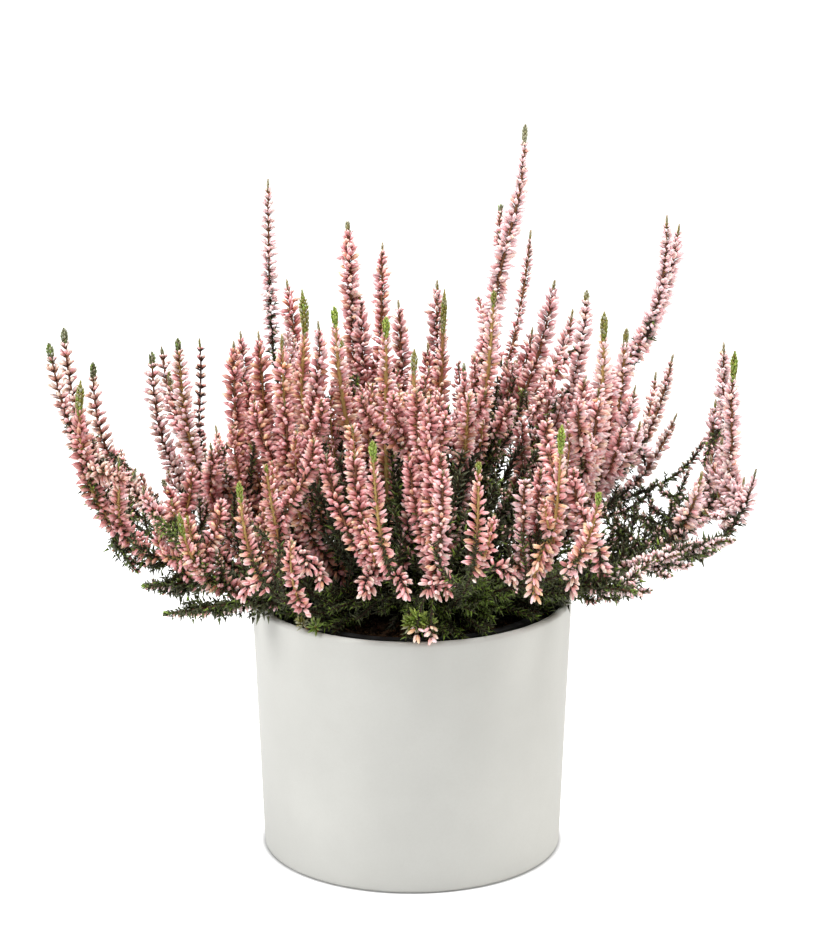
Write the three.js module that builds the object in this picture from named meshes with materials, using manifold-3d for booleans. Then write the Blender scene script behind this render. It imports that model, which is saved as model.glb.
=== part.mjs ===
// A potted heather: a bud-flowering heather in its black growing pot, standing in a
// plain tapered ceramic cover pot. Millimetres, +Z up. The origin is the centre of
// the underside of the cover pot, which is the face that the object stands on.

import * as THREE from 'three';
import { mergeVertices } from 'three/addons/utils/BufferGeometryUtils.js';
import Module from 'manifold-3d';

// ---------------------------------------------------------------- dimensions

// Cover pot: thrown ceramic, 14 cm across the rim.
const POT_RIM_RADIUS = 70;
const POT_BASE_RADIUS = 65.6;
const POT_HEIGHT = 114.5;
const POT_WALL = 4;
const POT_FLOOR = 6;
const POT_EDGE_ROUNDING = 1.6;
const POT_SIDES = 72;

// Growing pot: thin black plastic, 12 cm across its rolled rim.
const GROW_POT_RIM_RADIUS = 61.5;
const GROW_POT_TOP_RADIUS = 59;
const GROW_POT_BASE_RADIUS = 45;
const GROW_POT_TOP = 113;
const GROW_POT_RIM_HEIGHT = 5;
const GROW_POT_WALL = 1.2;
const GROW_POT_SIDES = 48;
const DRAIN_HOLE_COUNT = 6;
const DRAIN_HOLE_RADIUS = 4;
const DRAIN_HOLE_CIRCLE = 30;
const DRAIN_HOLE_SIDES = 12;

// Peat root ball: it fills the growing pot to a low mound.
const PEAT_EDGE_DROP = 5;
const PEAT_MOUND_TOP = 110.5;
const PEAT_FLAT_RADIUS = 26;

// Woody crown: the short rootstock in the middle of the mound.
const CROWN_RADIUS = 15;
const CROWN_HEIGHT = 7;
const CROWN_SIDES = 16;

// Steps in the curved top of the mound and in that of the crown.
const DOME_STEPS = 5;

// Shoots: a thin woody stem below, a fuller flowering spike above.
const SHOOT_SIDES = 6;
const SHOOT_RINGS = 13;
const STEM_RADIUS = 1.3;
const SPIKE_RADIUS = 3.4;
const SPIKE_TIP_RADIUS = 1.1;
const SPIKE_TAPER = 0.7;
const SPIKE_OPENING = 22;
const LEAFY_SHARE = 0.4;
const FOOT_REACH = 31;
const WIDEST_REACH = 157;
const FOOT_SPACING = 6.8;
const SHOOT_GAP = 1.3;
const BEND_PULL = 0.5;
const RIM_CLEARANCE = 0.8;

// How neighbouring feet and bends are settled.
const TRACE_STEPS = 30;
const SETTLING_ROUNDS = 300;
const LARGEST_PUSH = 2;
const FOOT_PUSH = 0.25;

// Clear space between pieces that rest on each other.
const SEAT_GAP = 0.3;

// The shoots, by their place in the bush. Each row holds the tip's x, y and z, the
// length of the flowering spike, the angles above level at which the shoot leaves
// its foot and reaches its tip, and, where the foot isn't straight below that
// line, how far it stands to the side.
const SHOOTS = {
  far_left: [
    [-157, 8, 225, 115, 0, 82],
    [-152, 24, 228, 115, 0, 88],
    [-142, -8, 212, 85, 5, 86],
    [-141, 38, 209, 85, 0, 90],
  ],
  left: [
    [-115, 40, 213, 80, 20, 88],
    [-112, 56, 212, 80, 25, 83],
    [-102, 20, 224, 100, 15, 87],
    [-107, -18, 171, 55, 15, 83],
    [-98, -48, 165, 55, 20, 85],
  ],
  inner_left: [
    [-77, 8, 226, 95, 20, 90],
    [-67, 22, 227, 95, 15, 90],
    [-56, 64, 241, 90, 55, 80],
    [-47, 0, 250, 120, 65, 85],
    [-55, -22, 236, 110, 45, 88],
  ],
  centre: [
    [-33, -14, 246, 115, 78, 87],
    [-28, 30, 274, 120, 75, 87],
    [-13, 48, 261, 95, 85, 80, -10],
    [-11, -16, 242, 115, 85, 87, -8],
    [-6, 26, 240, 80, 60, 85],
    [1, -34, 232, 115, 90, 90, 10],
    [11, 34, 247, 90, 60, 88],
    [14, 6, 249, 125, 85, 88, -3],
    [22, -20, 223, 105, 75, 90],
    [35, -2, 250, 125, 75, 87],
  ],
  tall: [
    [-63, 45, 290, 95, 50, 90],
    [49, 34, 316, 135, 68, 87, -12],
  ],
  inner_right: [
    [53, 66, 263, 70, 72, 82],
    [63, 44, 245, 75, 80, 80],
    [76, 22, 245, 95, 58, 88],
    [82, -6, 242, 115, 30, 90],
  ],
  right: [
    [93, 14, 230, 90, 20, 86],
    [111, 34, 276, 115, 68, 91],
    [117, 58, 208, 65, 35, 78],
    [117, 30, 188, 60, 45, 68],
  ],
  far_right: [
    [136, 22, 222, 100, 5, 92],
    [139, 2, 223, 100, 0, 90],
    [149, -4, 172, 50, 30, 78],
    [124, -22, 176, 55, 30, 80],
  ],
  low_right: [
    [138, -34, 149, 60, 10, 12],
    [94, -60, 134, 45, 15, 5],
  ],
  low_left: [
    [-116, -24, 125, 50, 20, -3],
    [-105, -50, 121, 45, 20, -3],
  ],
  front: [
    [-71, -78, 187, 80, 15, 88],
    [-61, -54, 187, 70, 15, 80],
    [-16, -92, 208, 110, 45, 88],
    [27, -92, 199, 85, 30, 92, 6],
    [62, -62, 207, 100, 30, 80, 12],
    [77, -76, 182, 65, 40, 87],
  ],
  low_front: [
    [-20, -84, 128, 45, 70, -45],
    [12, -84, 128, 45, 70, -45],
  ],
  back: [
    [-91, 100, 164, 70, 25, 80],
    [-57, 116, 184, 80, 25, 82],
    [-14, 124, 192, 80, 25, 82],
    [32, 122, 174, 75, 25, 80],
    [80, 100, 188, 80, 25, 82],
    [-32, 86, 208, 90, 45, 84],
  ],
};

// ----------------------------------------------------------------- materials

const WHITE_CERAMIC = new THREE.MeshStandardMaterial({
  color: 0xe4e2dd, roughness: 0.55, metalness: 0,
});
const BLACK_PLASTIC = new THREE.MeshStandardMaterial({
  color: 0x1c1c1d, roughness: 0.6, metalness: 0,
});
const DARK_PEAT = new THREE.MeshStandardMaterial({
  color: 0x2a1c14, roughness: 1, metalness: 0,
});
const BROWN_WOOD = new THREE.MeshStandardMaterial({
  color: 0x3a2a1e, roughness: 0.9, metalness: 0,
});
const HEATHER_PINK = new THREE.MeshStandardMaterial({
  color: 0xc98a8a, roughness: 0.8, metalness: 0,
});

// ------------------------------------------------------------------- solids

const manifold = await Module();
manifold.setup();

// Points on a circle about (r, z), from one angle in degrees to another.
function arc(r, z, radius, from, to, steps) {
  const points = [];
  for (let i = 0; i <= steps; i += 1) {
    const angle = THREE.MathUtils.degToRad(from + ((to - from) * i) / steps);
    points.push([r + radius * Math.cos(angle), z + radius * Math.sin(angle)]);
  }
  return points;
}

// A solid of revolution about Z from an outline of [radius, height] points that
// runs from the lower point on the axis round the outside to the upper one.
function turned(outline, sides) {
  const points = outline.map(([r, z]) => new THREE.Vector2(r, z));
  const geometry = new THREE.LatheGeometry(points, sides);
  geometry.rotateX(Math.PI / 2);
  return geometry;
}

function toManifold(geometry) {
  const bare = geometry.clone();
  bare.deleteAttribute('normal');
  bare.deleteAttribute('uv');
  const merged = mergeVertices(bare, 1e-4);
  return new manifold.Manifold(new manifold.Mesh({
    numProp: 3,
    vertProperties: new Float32Array(merged.attributes.position.array),
    triVerts: new Uint32Array(merged.index.array),
  }));
}

function fromManifold(solid) {
  const mesh = solid.getMesh();
  const geometry = new THREE.BufferGeometry();
  geometry.setAttribute('position', new THREE.BufferAttribute(mesh.vertProperties, 3));
  geometry.setIndex(new THREE.BufferAttribute(mesh.triVerts, 1));
  return geometry;
}

// ------------------------------------------------------------------- the pots

// Cover pot: flat base, slightly flared wall, rounded lip, hollow inside.
function coverPot() {
  const flare = (POT_RIM_RADIUS - POT_BASE_RADIUS) / POT_HEIGHT;
  const innerBase = POT_BASE_RADIUS + flare * POT_FLOOR - POT_WALL;
  const lip = POT_WALL / 2;
  return turned([
    [0, 0],
    ...arc(POT_BASE_RADIUS - POT_EDGE_ROUNDING, POT_EDGE_ROUNDING, POT_EDGE_ROUNDING, -90, 0, 3),
    ...arc(POT_RIM_RADIUS - lip, POT_HEIGHT - lip, lip, 0, 180, 6),
    [innerBase, POT_FLOOR + POT_EDGE_ROUNDING],
    [innerBase - POT_EDGE_ROUNDING, POT_FLOOR],
    [0, POT_FLOOR],
  ], POT_SIDES);
}

// Growing pot: thin tapered cup with a rolled rim and a ring of drainage holes.
function growPot() {
  const bottom = POT_FLOOR + SEAT_GAP;
  const rimBottom = GROW_POT_TOP - GROW_POT_RIM_HEIGHT;
  const cup = toManifold(turned([
    [0, bottom],
    [GROW_POT_BASE_RADIUS, bottom],
    [GROW_POT_TOP_RADIUS, rimBottom],
    [GROW_POT_RIM_RADIUS, rimBottom],
    [GROW_POT_RIM_RADIUS, GROW_POT_TOP],
    [GROW_POT_TOP_RADIUS - GROW_POT_WALL, GROW_POT_TOP],
    [GROW_POT_TOP_RADIUS - GROW_POT_WALL, rimBottom],
    [GROW_POT_BASE_RADIUS - GROW_POT_WALL, bottom + GROW_POT_WALL],
    [0, bottom + GROW_POT_WALL],
  ], GROW_POT_SIDES));
  let drained = cup;
  for (let i = 0; i < DRAIN_HOLE_COUNT; i += 1) {
    const angle = (2 * Math.PI * i) / DRAIN_HOLE_COUNT;
    const hole = new THREE.CylinderGeometry(
      DRAIN_HOLE_RADIUS, DRAIN_HOLE_RADIUS, 4 * GROW_POT_WALL, DRAIN_HOLE_SIDES,
    );
    hole.rotateX(Math.PI / 2);
    hole.translate(DRAIN_HOLE_CIRCLE * Math.cos(angle), DRAIN_HOLE_CIRCLE * Math.sin(angle), bottom);
    drained = drained.subtract(toManifold(hole));
  }
  return fromManifold(drained);
}

// --------------------------------------------------------- peat and rootstock

// Inside radius of the growing pot at a height above its floor.
function growPotBore(z) {
  const floor = POT_FLOOR + SEAT_GAP + GROW_POT_WALL;
  const shoulder = GROW_POT_TOP - GROW_POT_RIM_HEIGHT;
  const rise = (z - floor) / (shoulder - floor);
  return (GROW_POT_TOP_RADIUS - GROW_POT_BASE_RADIUS) * rise + GROW_POT_BASE_RADIUS - GROW_POT_WALL;
}

const peatEdgeHeight = PEAT_MOUND_TOP - PEAT_EDGE_DROP;
const peatEdgeRadius = growPotBore(peatEdgeHeight) - 2 * SEAT_GAP;

// Height of what a shoot stands on, at a distance from the middle of the mound.
function groundHeight(radius) {
  if (radius < CROWN_RADIUS) {
    const across = radius / CROWN_RADIUS;
    return PEAT_MOUND_TOP + SEAT_GAP + CROWN_HEIGHT * Math.sqrt(1 - across * across);
  }
  const outward = Math.max(0, radius - PEAT_FLAT_RADIUS) / (peatEdgeRadius - PEAT_FLAT_RADIUS);
  return PEAT_MOUND_TOP - PEAT_EDGE_DROP * outward * outward;
}

function rootBall() {
  const bottom = POT_FLOOR + GROW_POT_WALL + 2 * SEAT_GAP;
  const outline = [
    [0, bottom],
    [growPotBore(bottom) - 2 * SEAT_GAP, bottom],
  ];
  for (let i = 0; i <= DOME_STEPS; i += 1) {
    const radius = peatEdgeRadius + ((PEAT_FLAT_RADIUS - peatEdgeRadius) * i) / DOME_STEPS;
    outline.push([radius, groundHeight(radius)]);
  }
  outline.push([0, PEAT_MOUND_TOP]);
  return turned(outline, GROW_POT_SIDES);
}

function crown() {
  const base = PEAT_MOUND_TOP + SEAT_GAP;
  const outline = [[0, base]];
  for (let i = 0; i < DOME_STEPS; i += 1) {
    const angle = (Math.PI / 2) * (i / DOME_STEPS);
    outline.push([CROWN_RADIUS * Math.cos(angle), base + CROWN_HEIGHT * Math.sin(angle)]);
  }
  outline.push([0, base + CROWN_HEIGHT]);
  return turned(outline, CROWN_SIDES);
}

// --------------------------------------------------------------------- shoots

// Feet start under their tips' bearings and push each other apart.
function placeFeet(all) {
  const feet = all.map(({ tip, aside }) => {
    const reach = FOOT_REACH * Math.sqrt(Math.hypot(tip.x, tip.y) / WIDEST_REACH);
    const foot = new THREE.Vector2(tip.x, tip.y).setLength(reach);
    foot.x += aside;
    return foot;
  });
  for (let round = 0; round < SETTLING_ROUNDS; round += 1) {
    for (let i = 0; i < feet.length; i += 1) {
      for (let j = i + 1; j < feet.length; j += 1) {
        const apart = feet[j].clone().sub(feet[i]);
        const short = FOOT_SPACING - apart.length();
        if (short > 0) {
          apart.setLength(short * FOOT_PUSH);
          feet[i].sub(apart);
          feet[j].add(apart);
        }
      }
      feet[i].clampLength(0, FOOT_REACH);
    }
  }
  return feet;
}

// A direction at an angle above level, along a bearing.
function heading(bearing, degrees) {
  const angle = THREE.MathUtils.degToRad(degrees);
  return new THREE.Vector3(bearing.x, bearing.y, 0)
    .setLength(Math.cos(angle))
    .setZ(Math.sin(angle));
}

// Gives a shoot the two inner points of its curve, from its angles at both ends.
function bendShoot(shoot) {
  const span = shoot.tip.clone().sub(shoot.foot);
  const pull = BEND_PULL * span.length();
  shoot.low = shoot.foot.clone().addScaledVector(heading(span, shoot.leaves), pull);
  shoot.high = shoot.tip.clone().addScaledVector(heading(span, shoot.ends), -pull);
}

function shootCurve({ foot, low, high, tip }) {
  return new THREE.CubicBezierCurve3(foot, low, high, tip);
}

// Half the thickness of a shoot at a distance from its foot: a bare stem that opens
// into leaves and then buds, and tapers again to the tip.
function shootRadius(along, length, flowering) {
  const bare = Math.max(length - flowering, 0) * (1 - LEAFY_SHARE);
  const opening = THREE.MathUtils.smoothstep(along, bare, bare + SPIKE_OPENING);
  const closing = THREE.MathUtils.smoothstep(length - along, 0, flowering * SPIKE_TAPER);
  const spike = SPIKE_TIP_RADIUS + (SPIKE_RADIUS - SPIKE_TIP_RADIUS) * closing;
  return STEM_RADIUS + (spike - STEM_RADIUS) * opening;
}

const shoots = [];
for (const [area, rows] of Object.entries(SHOOTS)) {
  rows.forEach(([x, y, z, flowering, leaves, ends, aside = 0], index) => {
    shoots.push({
      name: `shoot_${area}_${index + 1}`,
      tip: new THREE.Vector3(x, y, z),
      flowering,
      leaves,
      ends,
      aside,
    });
  });
}

// Follows a shoot's curve at close steps, with its thickness there.
function trace(shoot) {
  const curve = shootCurve(shoot);
  const length = curve.getLength();
  shoot.points = curve.getSpacedPoints(TRACE_STEPS);
  shoot.radii = shoot.points.map((_, i) => (
    shootRadius((length * i) / TRACE_STEPS, length, shoot.flowering)
  ));
  shoot.box = new THREE.Box3().setFromPoints(shoot.points).expandByScalar(SPIKE_RADIUS + SHOOT_GAP);
}

// Raises the bend of a shoot that would touch the rims of the pots.
function clearRims(shoot) {
  let short = 0;
  shoot.points.forEach((point, i) => {
    const out = Math.hypot(point.x, point.y);
    const reach = shoot.radii[i] + RIM_CLEARANCE;
    if (out > GROW_POT_TOP_RADIUS - reach && out < POT_RIM_RADIUS + reach) {
      short = Math.max(short, POT_HEIGHT + reach - point.z);
    }
  });
  shoot.low.z += short;
  shoot.high.z += short / 2;
  return short > 0;
}

// Bends two shoots that would touch away from each other, sideways only.
function partPair(first, second) {
  if (!first.box.intersectsBox(second.box)) {
    return false;
  }
  const push = new THREE.Vector3();
  let worst = 0;
  for (let a = 1; a < TRACE_STEPS; a += 1) {
    for (let b = 1; b < TRACE_STEPS; b += 1) {
      const distance = first.points[a].distanceTo(second.points[b]);
      const short = first.radii[a] + second.radii[b] + SHOOT_GAP - distance;
      if (short > worst) {
        worst = short;
        push.subVectors(second.points[b], first.points[a]);
      }
    }
  }
  if (worst === 0) {
    return false;
  }
  push.z = 0;
  push.setLength(Math.min(worst, LARGEST_PUSH));
  for (const point of ['low', 'high']) {
    first[point].sub(push);
    second[point].add(push);
  }
  return true;
}

// Settles the bends until no shoot touches another or a rim.
function makeRoom(all) {
  for (let round = 0; round < SETTLING_ROUNDS; round += 1) {
    let crowded = 0;
    for (const shoot of all) {
      trace(shoot);
      crowded += clearRims(shoot);
    }
    for (let i = 0; i < all.length; i += 1) {
      for (let j = i + 1; j < all.length; j += 1) {
        crowded += partPair(all[i], all[j]);
      }
    }
    if (crowded === 0) {
      return;
    }
  }
}

const feet = placeFeet(shoots);
shoots.forEach((shoot, index) => {
  const ground = groundHeight(feet[index].length());
  shoot.foot = new THREE.Vector3(feet[index].x, feet[index].y, ground + SEAT_GAP);
  bendShoot(shoot);
});
makeRoom(shoots);

// One shoot: a slim turned spindle bent along its curve.
function shootSolid(shoot) {
  const curve = shootCurve(shoot);
  const length = curve.getLength();
  const steps = SHOOT_RINGS - 1;
  const frames = curve.computeFrenetFrames(steps);
  const outline = [];
  for (let i = 0; i <= steps; i += 1) {
    const end = i === 0 || i === steps;
    const radius = end ? 0 : shootRadius((length * i) / steps, length, shoot.flowering);
    outline.push(new THREE.Vector2(radius, i));
  }
  const geometry = new THREE.LatheGeometry(outline, SHOOT_SIDES);
  const position = geometry.attributes.position;
  const vertex = new THREE.Vector3();
  for (let i = 0; i < position.count; i += 1) {
    vertex.fromBufferAttribute(position, i);
    const ring = Math.round(vertex.y);
    const place = curve.getPointAt(ring / steps);
    place.addScaledVector(frames.binormals[ring], vertex.x);
    place.addScaledVector(frames.normals[ring], vertex.z);
    position.setXYZ(i, place.x, place.y, place.z);
  }
  return geometry;
}

// ---------------------------------------------------------------- the object

const heather = new THREE.Group();

function add(name, geometry, material) {
  const mesh = new THREE.Mesh(geometry, material);
  mesh.name = name;
  heather.add(mesh);
}

add('cover_pot', coverPot(), WHITE_CERAMIC);
add('grow_pot', growPot(), BLACK_PLASTIC);
add('peat', rootBall(), DARK_PEAT);
add('crown', crown(), BROWN_WOOD);
for (const shoot of shoots) {
  add(shoot.name, shootSolid(shoot), HEATHER_PINK);
}

export default heather;
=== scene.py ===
"""The looks of a potted heather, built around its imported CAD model.

Sizes are in millimetres in this script and in metres in Blender. +Z is up, +X is to
the right and +Y to the back. Every shoot follows the centreline of its CAD node.
"""

import math
import zlib

import bpy
import numpy as np
from mathutils import Euler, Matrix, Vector, noise


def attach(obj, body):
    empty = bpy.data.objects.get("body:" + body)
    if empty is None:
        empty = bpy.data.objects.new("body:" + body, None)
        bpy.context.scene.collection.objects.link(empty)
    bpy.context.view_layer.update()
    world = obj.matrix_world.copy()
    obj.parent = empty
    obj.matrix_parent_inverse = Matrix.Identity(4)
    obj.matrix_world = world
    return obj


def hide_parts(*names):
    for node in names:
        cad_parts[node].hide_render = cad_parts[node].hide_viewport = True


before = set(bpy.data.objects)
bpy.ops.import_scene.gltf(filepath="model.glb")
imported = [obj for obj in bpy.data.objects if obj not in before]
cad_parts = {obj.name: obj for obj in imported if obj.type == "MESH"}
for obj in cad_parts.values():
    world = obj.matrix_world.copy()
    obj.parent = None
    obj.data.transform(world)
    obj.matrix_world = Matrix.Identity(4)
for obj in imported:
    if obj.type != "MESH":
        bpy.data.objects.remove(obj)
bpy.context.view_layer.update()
MM = 0.001
BODY = "root"

# ------------------------------------------------------------------ camera

CAMERA_PLACE = (-0.43, -1382.0, 555.6)
CAMERA_PITCH = 15.507
CAMERA_LENS = 127.7
SENSOR_WIDTH = 36.0


def make_camera():
    data = bpy.data.cameras.new("camera")
    data.lens = CAMERA_LENS
    data.sensor_width = SENSOR_WIDTH
    data.clip_end = 100
    camera = bpy.data.objects.new("camera", data)
    camera.location = Vector(CAMERA_PLACE) * MM
    camera.rotation_euler = (math.radians(90 - CAMERA_PITCH), 0, 0)
    bpy.context.scene.collection.objects.link(camera)
    bpy.context.scene.camera = camera


make_camera()

# ------------------------------------------------------------------ numbers


def seeded(name):
    """A random generator that gives the same numbers for the same name."""
    return np.random.default_rng(zlib.crc32(name.encode()))


def blend(low, high, share):
    return low + (high - low) * share


def smooth(value, low, high):
    """0 below low, 1 above high, and a smooth step between them."""
    share = np.clip((value - low) / (high - low), 0, 1)
    return share * share * (3 - 2 * share)


def unit(vectors):
    return vectors / np.maximum(np.linalg.norm(vectors, axis=-1, keepdims=True), 1e-9)


# ------------------------------------------------------------------ paths


class Path:
    """A curve in space at even steps, with a frame that doesn't twist along it."""

    STEP = 1.0
    ROUNDING = 8

    def __init__(self, points):
        fine = self.rounded(np.asarray(points, float), self.ROUNDING)
        gone = np.concatenate([[0], np.cumsum(np.linalg.norm(np.diff(fine, axis=0), axis=1))])
        self.length = float(gone[-1])
        count = max(int(self.length / self.STEP), 4) + 1
        self.reach = np.linspace(0, self.length, count)
        self.points = np.stack([np.interp(self.reach, gone, fine[:, i]) for i in range(3)], 1)
        self.along = unit(np.gradient(self.points, axis=0))
        self.side = self.carried(self.along)
        self.across = np.cross(self.along, self.side)

    @staticmethod
    def rounded(points, steps):
        """A Catmull-Rom curve through the points, with steps between each two."""
        ends = np.concatenate([[2 * points[0] - points[1]], points, [2 * points[-1] - points[-2]]])
        pieces = []
        for p0, p1, p2, p3 in zip(ends, ends[1:], ends[2:], ends[3:]):
            t = np.linspace(0, 1, steps, endpoint=False)[:, None]
            pieces.append(0.5 * (
                2 * p1 + (p2 - p0) * t + (2 * p0 - 5 * p1 + 4 * p2 - p3) * t ** 2
                + (3 * p1 - p0 - 3 * p2 + p3) * t ** 3
            ))
        pieces.append(points[-1:])
        return np.concatenate(pieces)

    @staticmethod
    def carried(along):
        """A side direction carried along the curve, which starts as outward as it can."""
        side = np.empty_like(along)
        start = np.array([0.0, -1.0, 0.0])
        for i, ahead in enumerate(along):
            start = start - ahead * start.dot(ahead)
            start /= np.linalg.norm(start)
            side[i] = start
        return side

    def place(self, reach):
        """Points and frames (side, across, along) at distances from the foot."""
        reach = np.clip(reach, 0, self.length)
        at = [
            np.stack([np.interp(reach, self.reach, values[:, i]) for i in range(3)], -1)
            for values in (self.points, self.side, self.across, self.along)
        ]
        return at[0], np.stack([unit(at[1]), unit(at[2]), unit(at[3])], -1)


PULL = 0.4


def bent(start, heading, end, arriving):
    """A path from one point to another that leaves and arrives in given directions."""
    start = np.asarray(start, float)
    end = np.asarray(end, float)
    pull = PULL * np.linalg.norm(end - start)
    low = start + unit(np.asarray(heading, float)) * pull
    high = end - unit(np.asarray(arriving, float)) * pull
    t = np.linspace(0, 1, 12)[:, None]
    return Path(
        (1 - t) ** 3 * start + 3 * (1 - t) ** 2 * t * low
        + 3 * (1 - t) * t ** 2 * high + t ** 3 * end
    )


def rings_from(start, near):
    """The corners that lie no, one, two and more edges away from a corner."""
    rings = [[start]]
    seen = {start}
    while ring := sorted(set().union(*(near[corner] for corner in rings[-1])) - seen):
        seen.update(ring)
        rings.append(ring)
    return rings


def cad_path(name):
    """The centreline of a CAD shoot, from its foot to its tip. The node's mesh is a
    spindle: rings of as many corners each between two end points, the lower of which is
    the foot."""
    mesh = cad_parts[name].data
    corners = np.array([v.co for v in mesh.vertices]) / MM
    _, first, same = np.unique(np.round(corners, 3), axis=0, return_index=True, return_inverse=True)
    same = same.reshape(-1)
    corners = corners[first]
    near = [set() for _ in corners]
    for edge in mesh.edges:
        a, b = (int(same[v]) for v in edge.vertices)
        if a != b:
            near[a].add(b)
            near[b].add(a)
    chains = []
    for start in range(len(corners)):
        foot, *rings, tip = rings_from(start, near)
        if len(rings) > 1 and len(tip) == 1 and len({len(ring) for ring in rings}) == 1:
            chains.append([corners[ring].mean(axis=0) for ring in (foot, *rings, tip)])
    return Path(min(chains, key=lambda chain: chain[0][2]))


# ------------------------------------------------------------------ meshes


class Builder:
    """Gathers triangles with their materials and the numbers that the materials read."""

    NUMBERS = ("along", "tint", "tone")

    def __init__(self):
        self.corners = []
        self.faces = []
        self.slots = []
        self.numbers = {name: [] for name in self.NUMBERS}
        self.count = 0

    def add(self, corners, faces, slot, along=0.0, tint=0.5, tone=0.5):
        """Adds triangles of one material, with their numbers for all corners or each."""
        corners = np.asarray(corners, float).reshape(-1, 3)
        faces = np.asarray(faces, int).reshape(-1, 3)
        self.corners.append(corners)
        self.faces.append(faces + self.count)
        self.slots.append(np.full(len(faces), slot))
        for name, values in zip(self.NUMBERS, (along, tint, tone)):
            self.numbers[name].append(np.broadcast_to(values, len(corners)).astype(float))
        self.count += len(corners)

    def add_copies(self, template, places, frames, sizes, slot, tint, tone):
        """Copies of a template, each with its own place, frame and sizes in x, y and z."""
        corners, faces, along = template
        if len(places) == 0:
            return
        scaled = corners * np.stack(np.broadcast_arrays(*sizes), 1)[:, None, :]
        placed = np.einsum("nij,nkj->nki", frames, scaled) + places[:, None, :]
        offsets = (np.arange(len(places)) * len(corners))[:, None, None]
        per_corner = (len(places), len(corners))
        numbers = [np.broadcast_to(np.reshape(n, (-1, 1)), per_corner).ravel() for n in (tint, tone)]
        self.add(placed, faces + offsets, slot, np.tile(along, len(places)), *numbers)

    def build(self, name, materials):
        """Makes a smooth Blender object of all that was added."""
        mesh = bpy.data.meshes.new(name)
        mesh.from_pydata(np.concatenate(self.corners) * MM, [], np.concatenate(self.faces))
        mesh.shade_smooth()
        slots = np.concatenate(self.slots).astype(np.int32)
        mesh.polygons.foreach_set("material_index", slots)
        for material in materials:
            mesh.materials.append(material)
        for key, values in self.numbers.items():
            attribute = mesh.attributes.new(key, "FLOAT", "POINT")
            attribute.data.foreach_set("value", np.concatenate(values).astype(np.float32))
        piece = bpy.data.objects.new(name, mesh)
        bpy.context.scene.collection.objects.link(piece)
        return piece


def ring_faces(rings, sides):
    """The triangles of a closed form whose corners are a point, rings of corners that
    run round +Z, and a last point above them."""
    i = np.arange(sides)
    j = (i + 1) % sides
    last = 1 + (rings - 1) * sides
    parts = [(np.zeros_like(i), 1 + j, 1 + i), (last + i, last + j, np.full_like(i, last + sides))]
    for a in range(1, last, sides):
        b = a + sides
        parts += [(a + i, a + j, b + j), (a + i, b + j, b + i)]
    return np.concatenate([np.stack(part, 1) for part in parts])


STREAK = 0.13


def turned(outline, sides, ridges=0.0):
    """A closed form turned about +Z, from (radius, height) points that start and end on
    the axis: its corners, triangles and heights. Every other corner of a ring is drawn in
    by the share that ridges gives, and its height is given lower, which makes streaks."""
    radii, heights = np.array(outline, float).T
    odd = np.arange(sides) % 2
    angles = 2 * np.pi * np.arange(sides) / sides
    spokes = np.stack([np.cos(angles), np.sin(angles)], 1) * (1 - ridges * odd)[:, None]
    rings = np.empty((len(outline) - 2, sides, 3))
    rings[:, :, :2] = radii[1:-1, None, None] * spokes
    rings[:, :, 2] = heights[1:-1, None]
    corners = np.concatenate([[[0, 0, heights[0]]], rings.reshape(-1, 3), [[0, 0, heights[-1]]]])
    streaked = heights[1:-1, None] + STREAK * (1 - 2 * odd)
    along = np.concatenate([heights[:1], streaked.ravel(), heights[-1:]])
    return corners, ring_faces(len(rings), sides), along


def spine():
    """A closed three-sided spine along +Z, one unit long and two wide at its foot."""
    angles = 2 * np.pi * np.arange(3) / 3
    foot = np.stack([np.cos(angles), np.sin(angles), np.zeros(3)], 1)
    corners = np.concatenate([foot, [[0.0, 0.0, 1.0]]])
    return corners, np.array([(0, 2, 1), (0, 1, 3), (1, 2, 3), (2, 0, 3)]), corners[:, 2]


# A closed bud: sepals that overlap in a pointed egg, one unit long and two wide.
FRONT_BUD = turned([(0, 0), (0.66, 0.14), (1.0, 0.45), (0.74, 0.82), (0, 1)], 5, 0.1)
BUD = turned([(0, 0), (0.78, 0.14), (0.98, 0.62), (0, 1)], 5)
SMALL_BUD = turned([(0, 0), (0.8, 0.14), (1.0, 0.6), (0, 1)], 4)
# A scale leaf: a slim closed needle, and a leaner one for where leaves are many.
LEAF = turned([(0, 0), (1.0, 0.35), (0.75, 0.7), (0, 1)], 4)
SPINE = spine()

DARK_TONE = 0.05


def tube(builder, path, radii, tone, sides=6, step=3, dark=0.35):
    """A closed stem along a path, with a radius for the foot and for the tip. Its tone
    comes in above its dark foot, which takes up the given share of it."""
    reach = np.linspace(0, path.length, max(int(path.length / step), 2) + 1)
    places, frames = path.place(reach)
    share = reach / path.length
    radius = blend(radii[1], radii[0], (1 - share) ** 0.5)
    angles = 2 * np.pi * np.arange(sides) / sides
    ring = np.stack([np.cos(angles), np.sin(angles)], 1)
    spread = np.einsum("nij,kj->nki", frames[:, :, :2], ring) * radius[:, None, None]
    rings = (places[:, None] + spread).reshape(-1, 3)
    corners = np.concatenate([places[:1], rings, places[-1:]])
    along = np.concatenate([[0], np.repeat(share, sides), [1]])
    tone = blend(DARK_TONE, tone, smooth(along, dark, dark + 0.2))
    builder.add(corners, ring_faces(len(reach), sides), STEM_SLOT, along, tone=tone)


def facing(directions, frames):
    """Frames whose +Z is the given direction and whose +X leans to the stem's axis."""
    ahead = unit(directions)
    stem = frames[:, :, 2]
    side = unit(np.cross(ahead, stem) + 1e-6)
    over = np.cross(ahead, side)
    return np.stack([side, over, ahead], -1)


# ------------------------------------------------------------------ materials


def linear(colour):
    """A colour written as an sRGB hex string, as Blender's linear numbers."""
    parts = [int(colour[i:i + 2], 16) / 255 for i in (1, 3, 5)]
    return [p / 12.92 if p <= 0.04045 else ((p + 0.055) / 1.055) ** 2.4 for p in parts] + [1.0]


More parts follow.
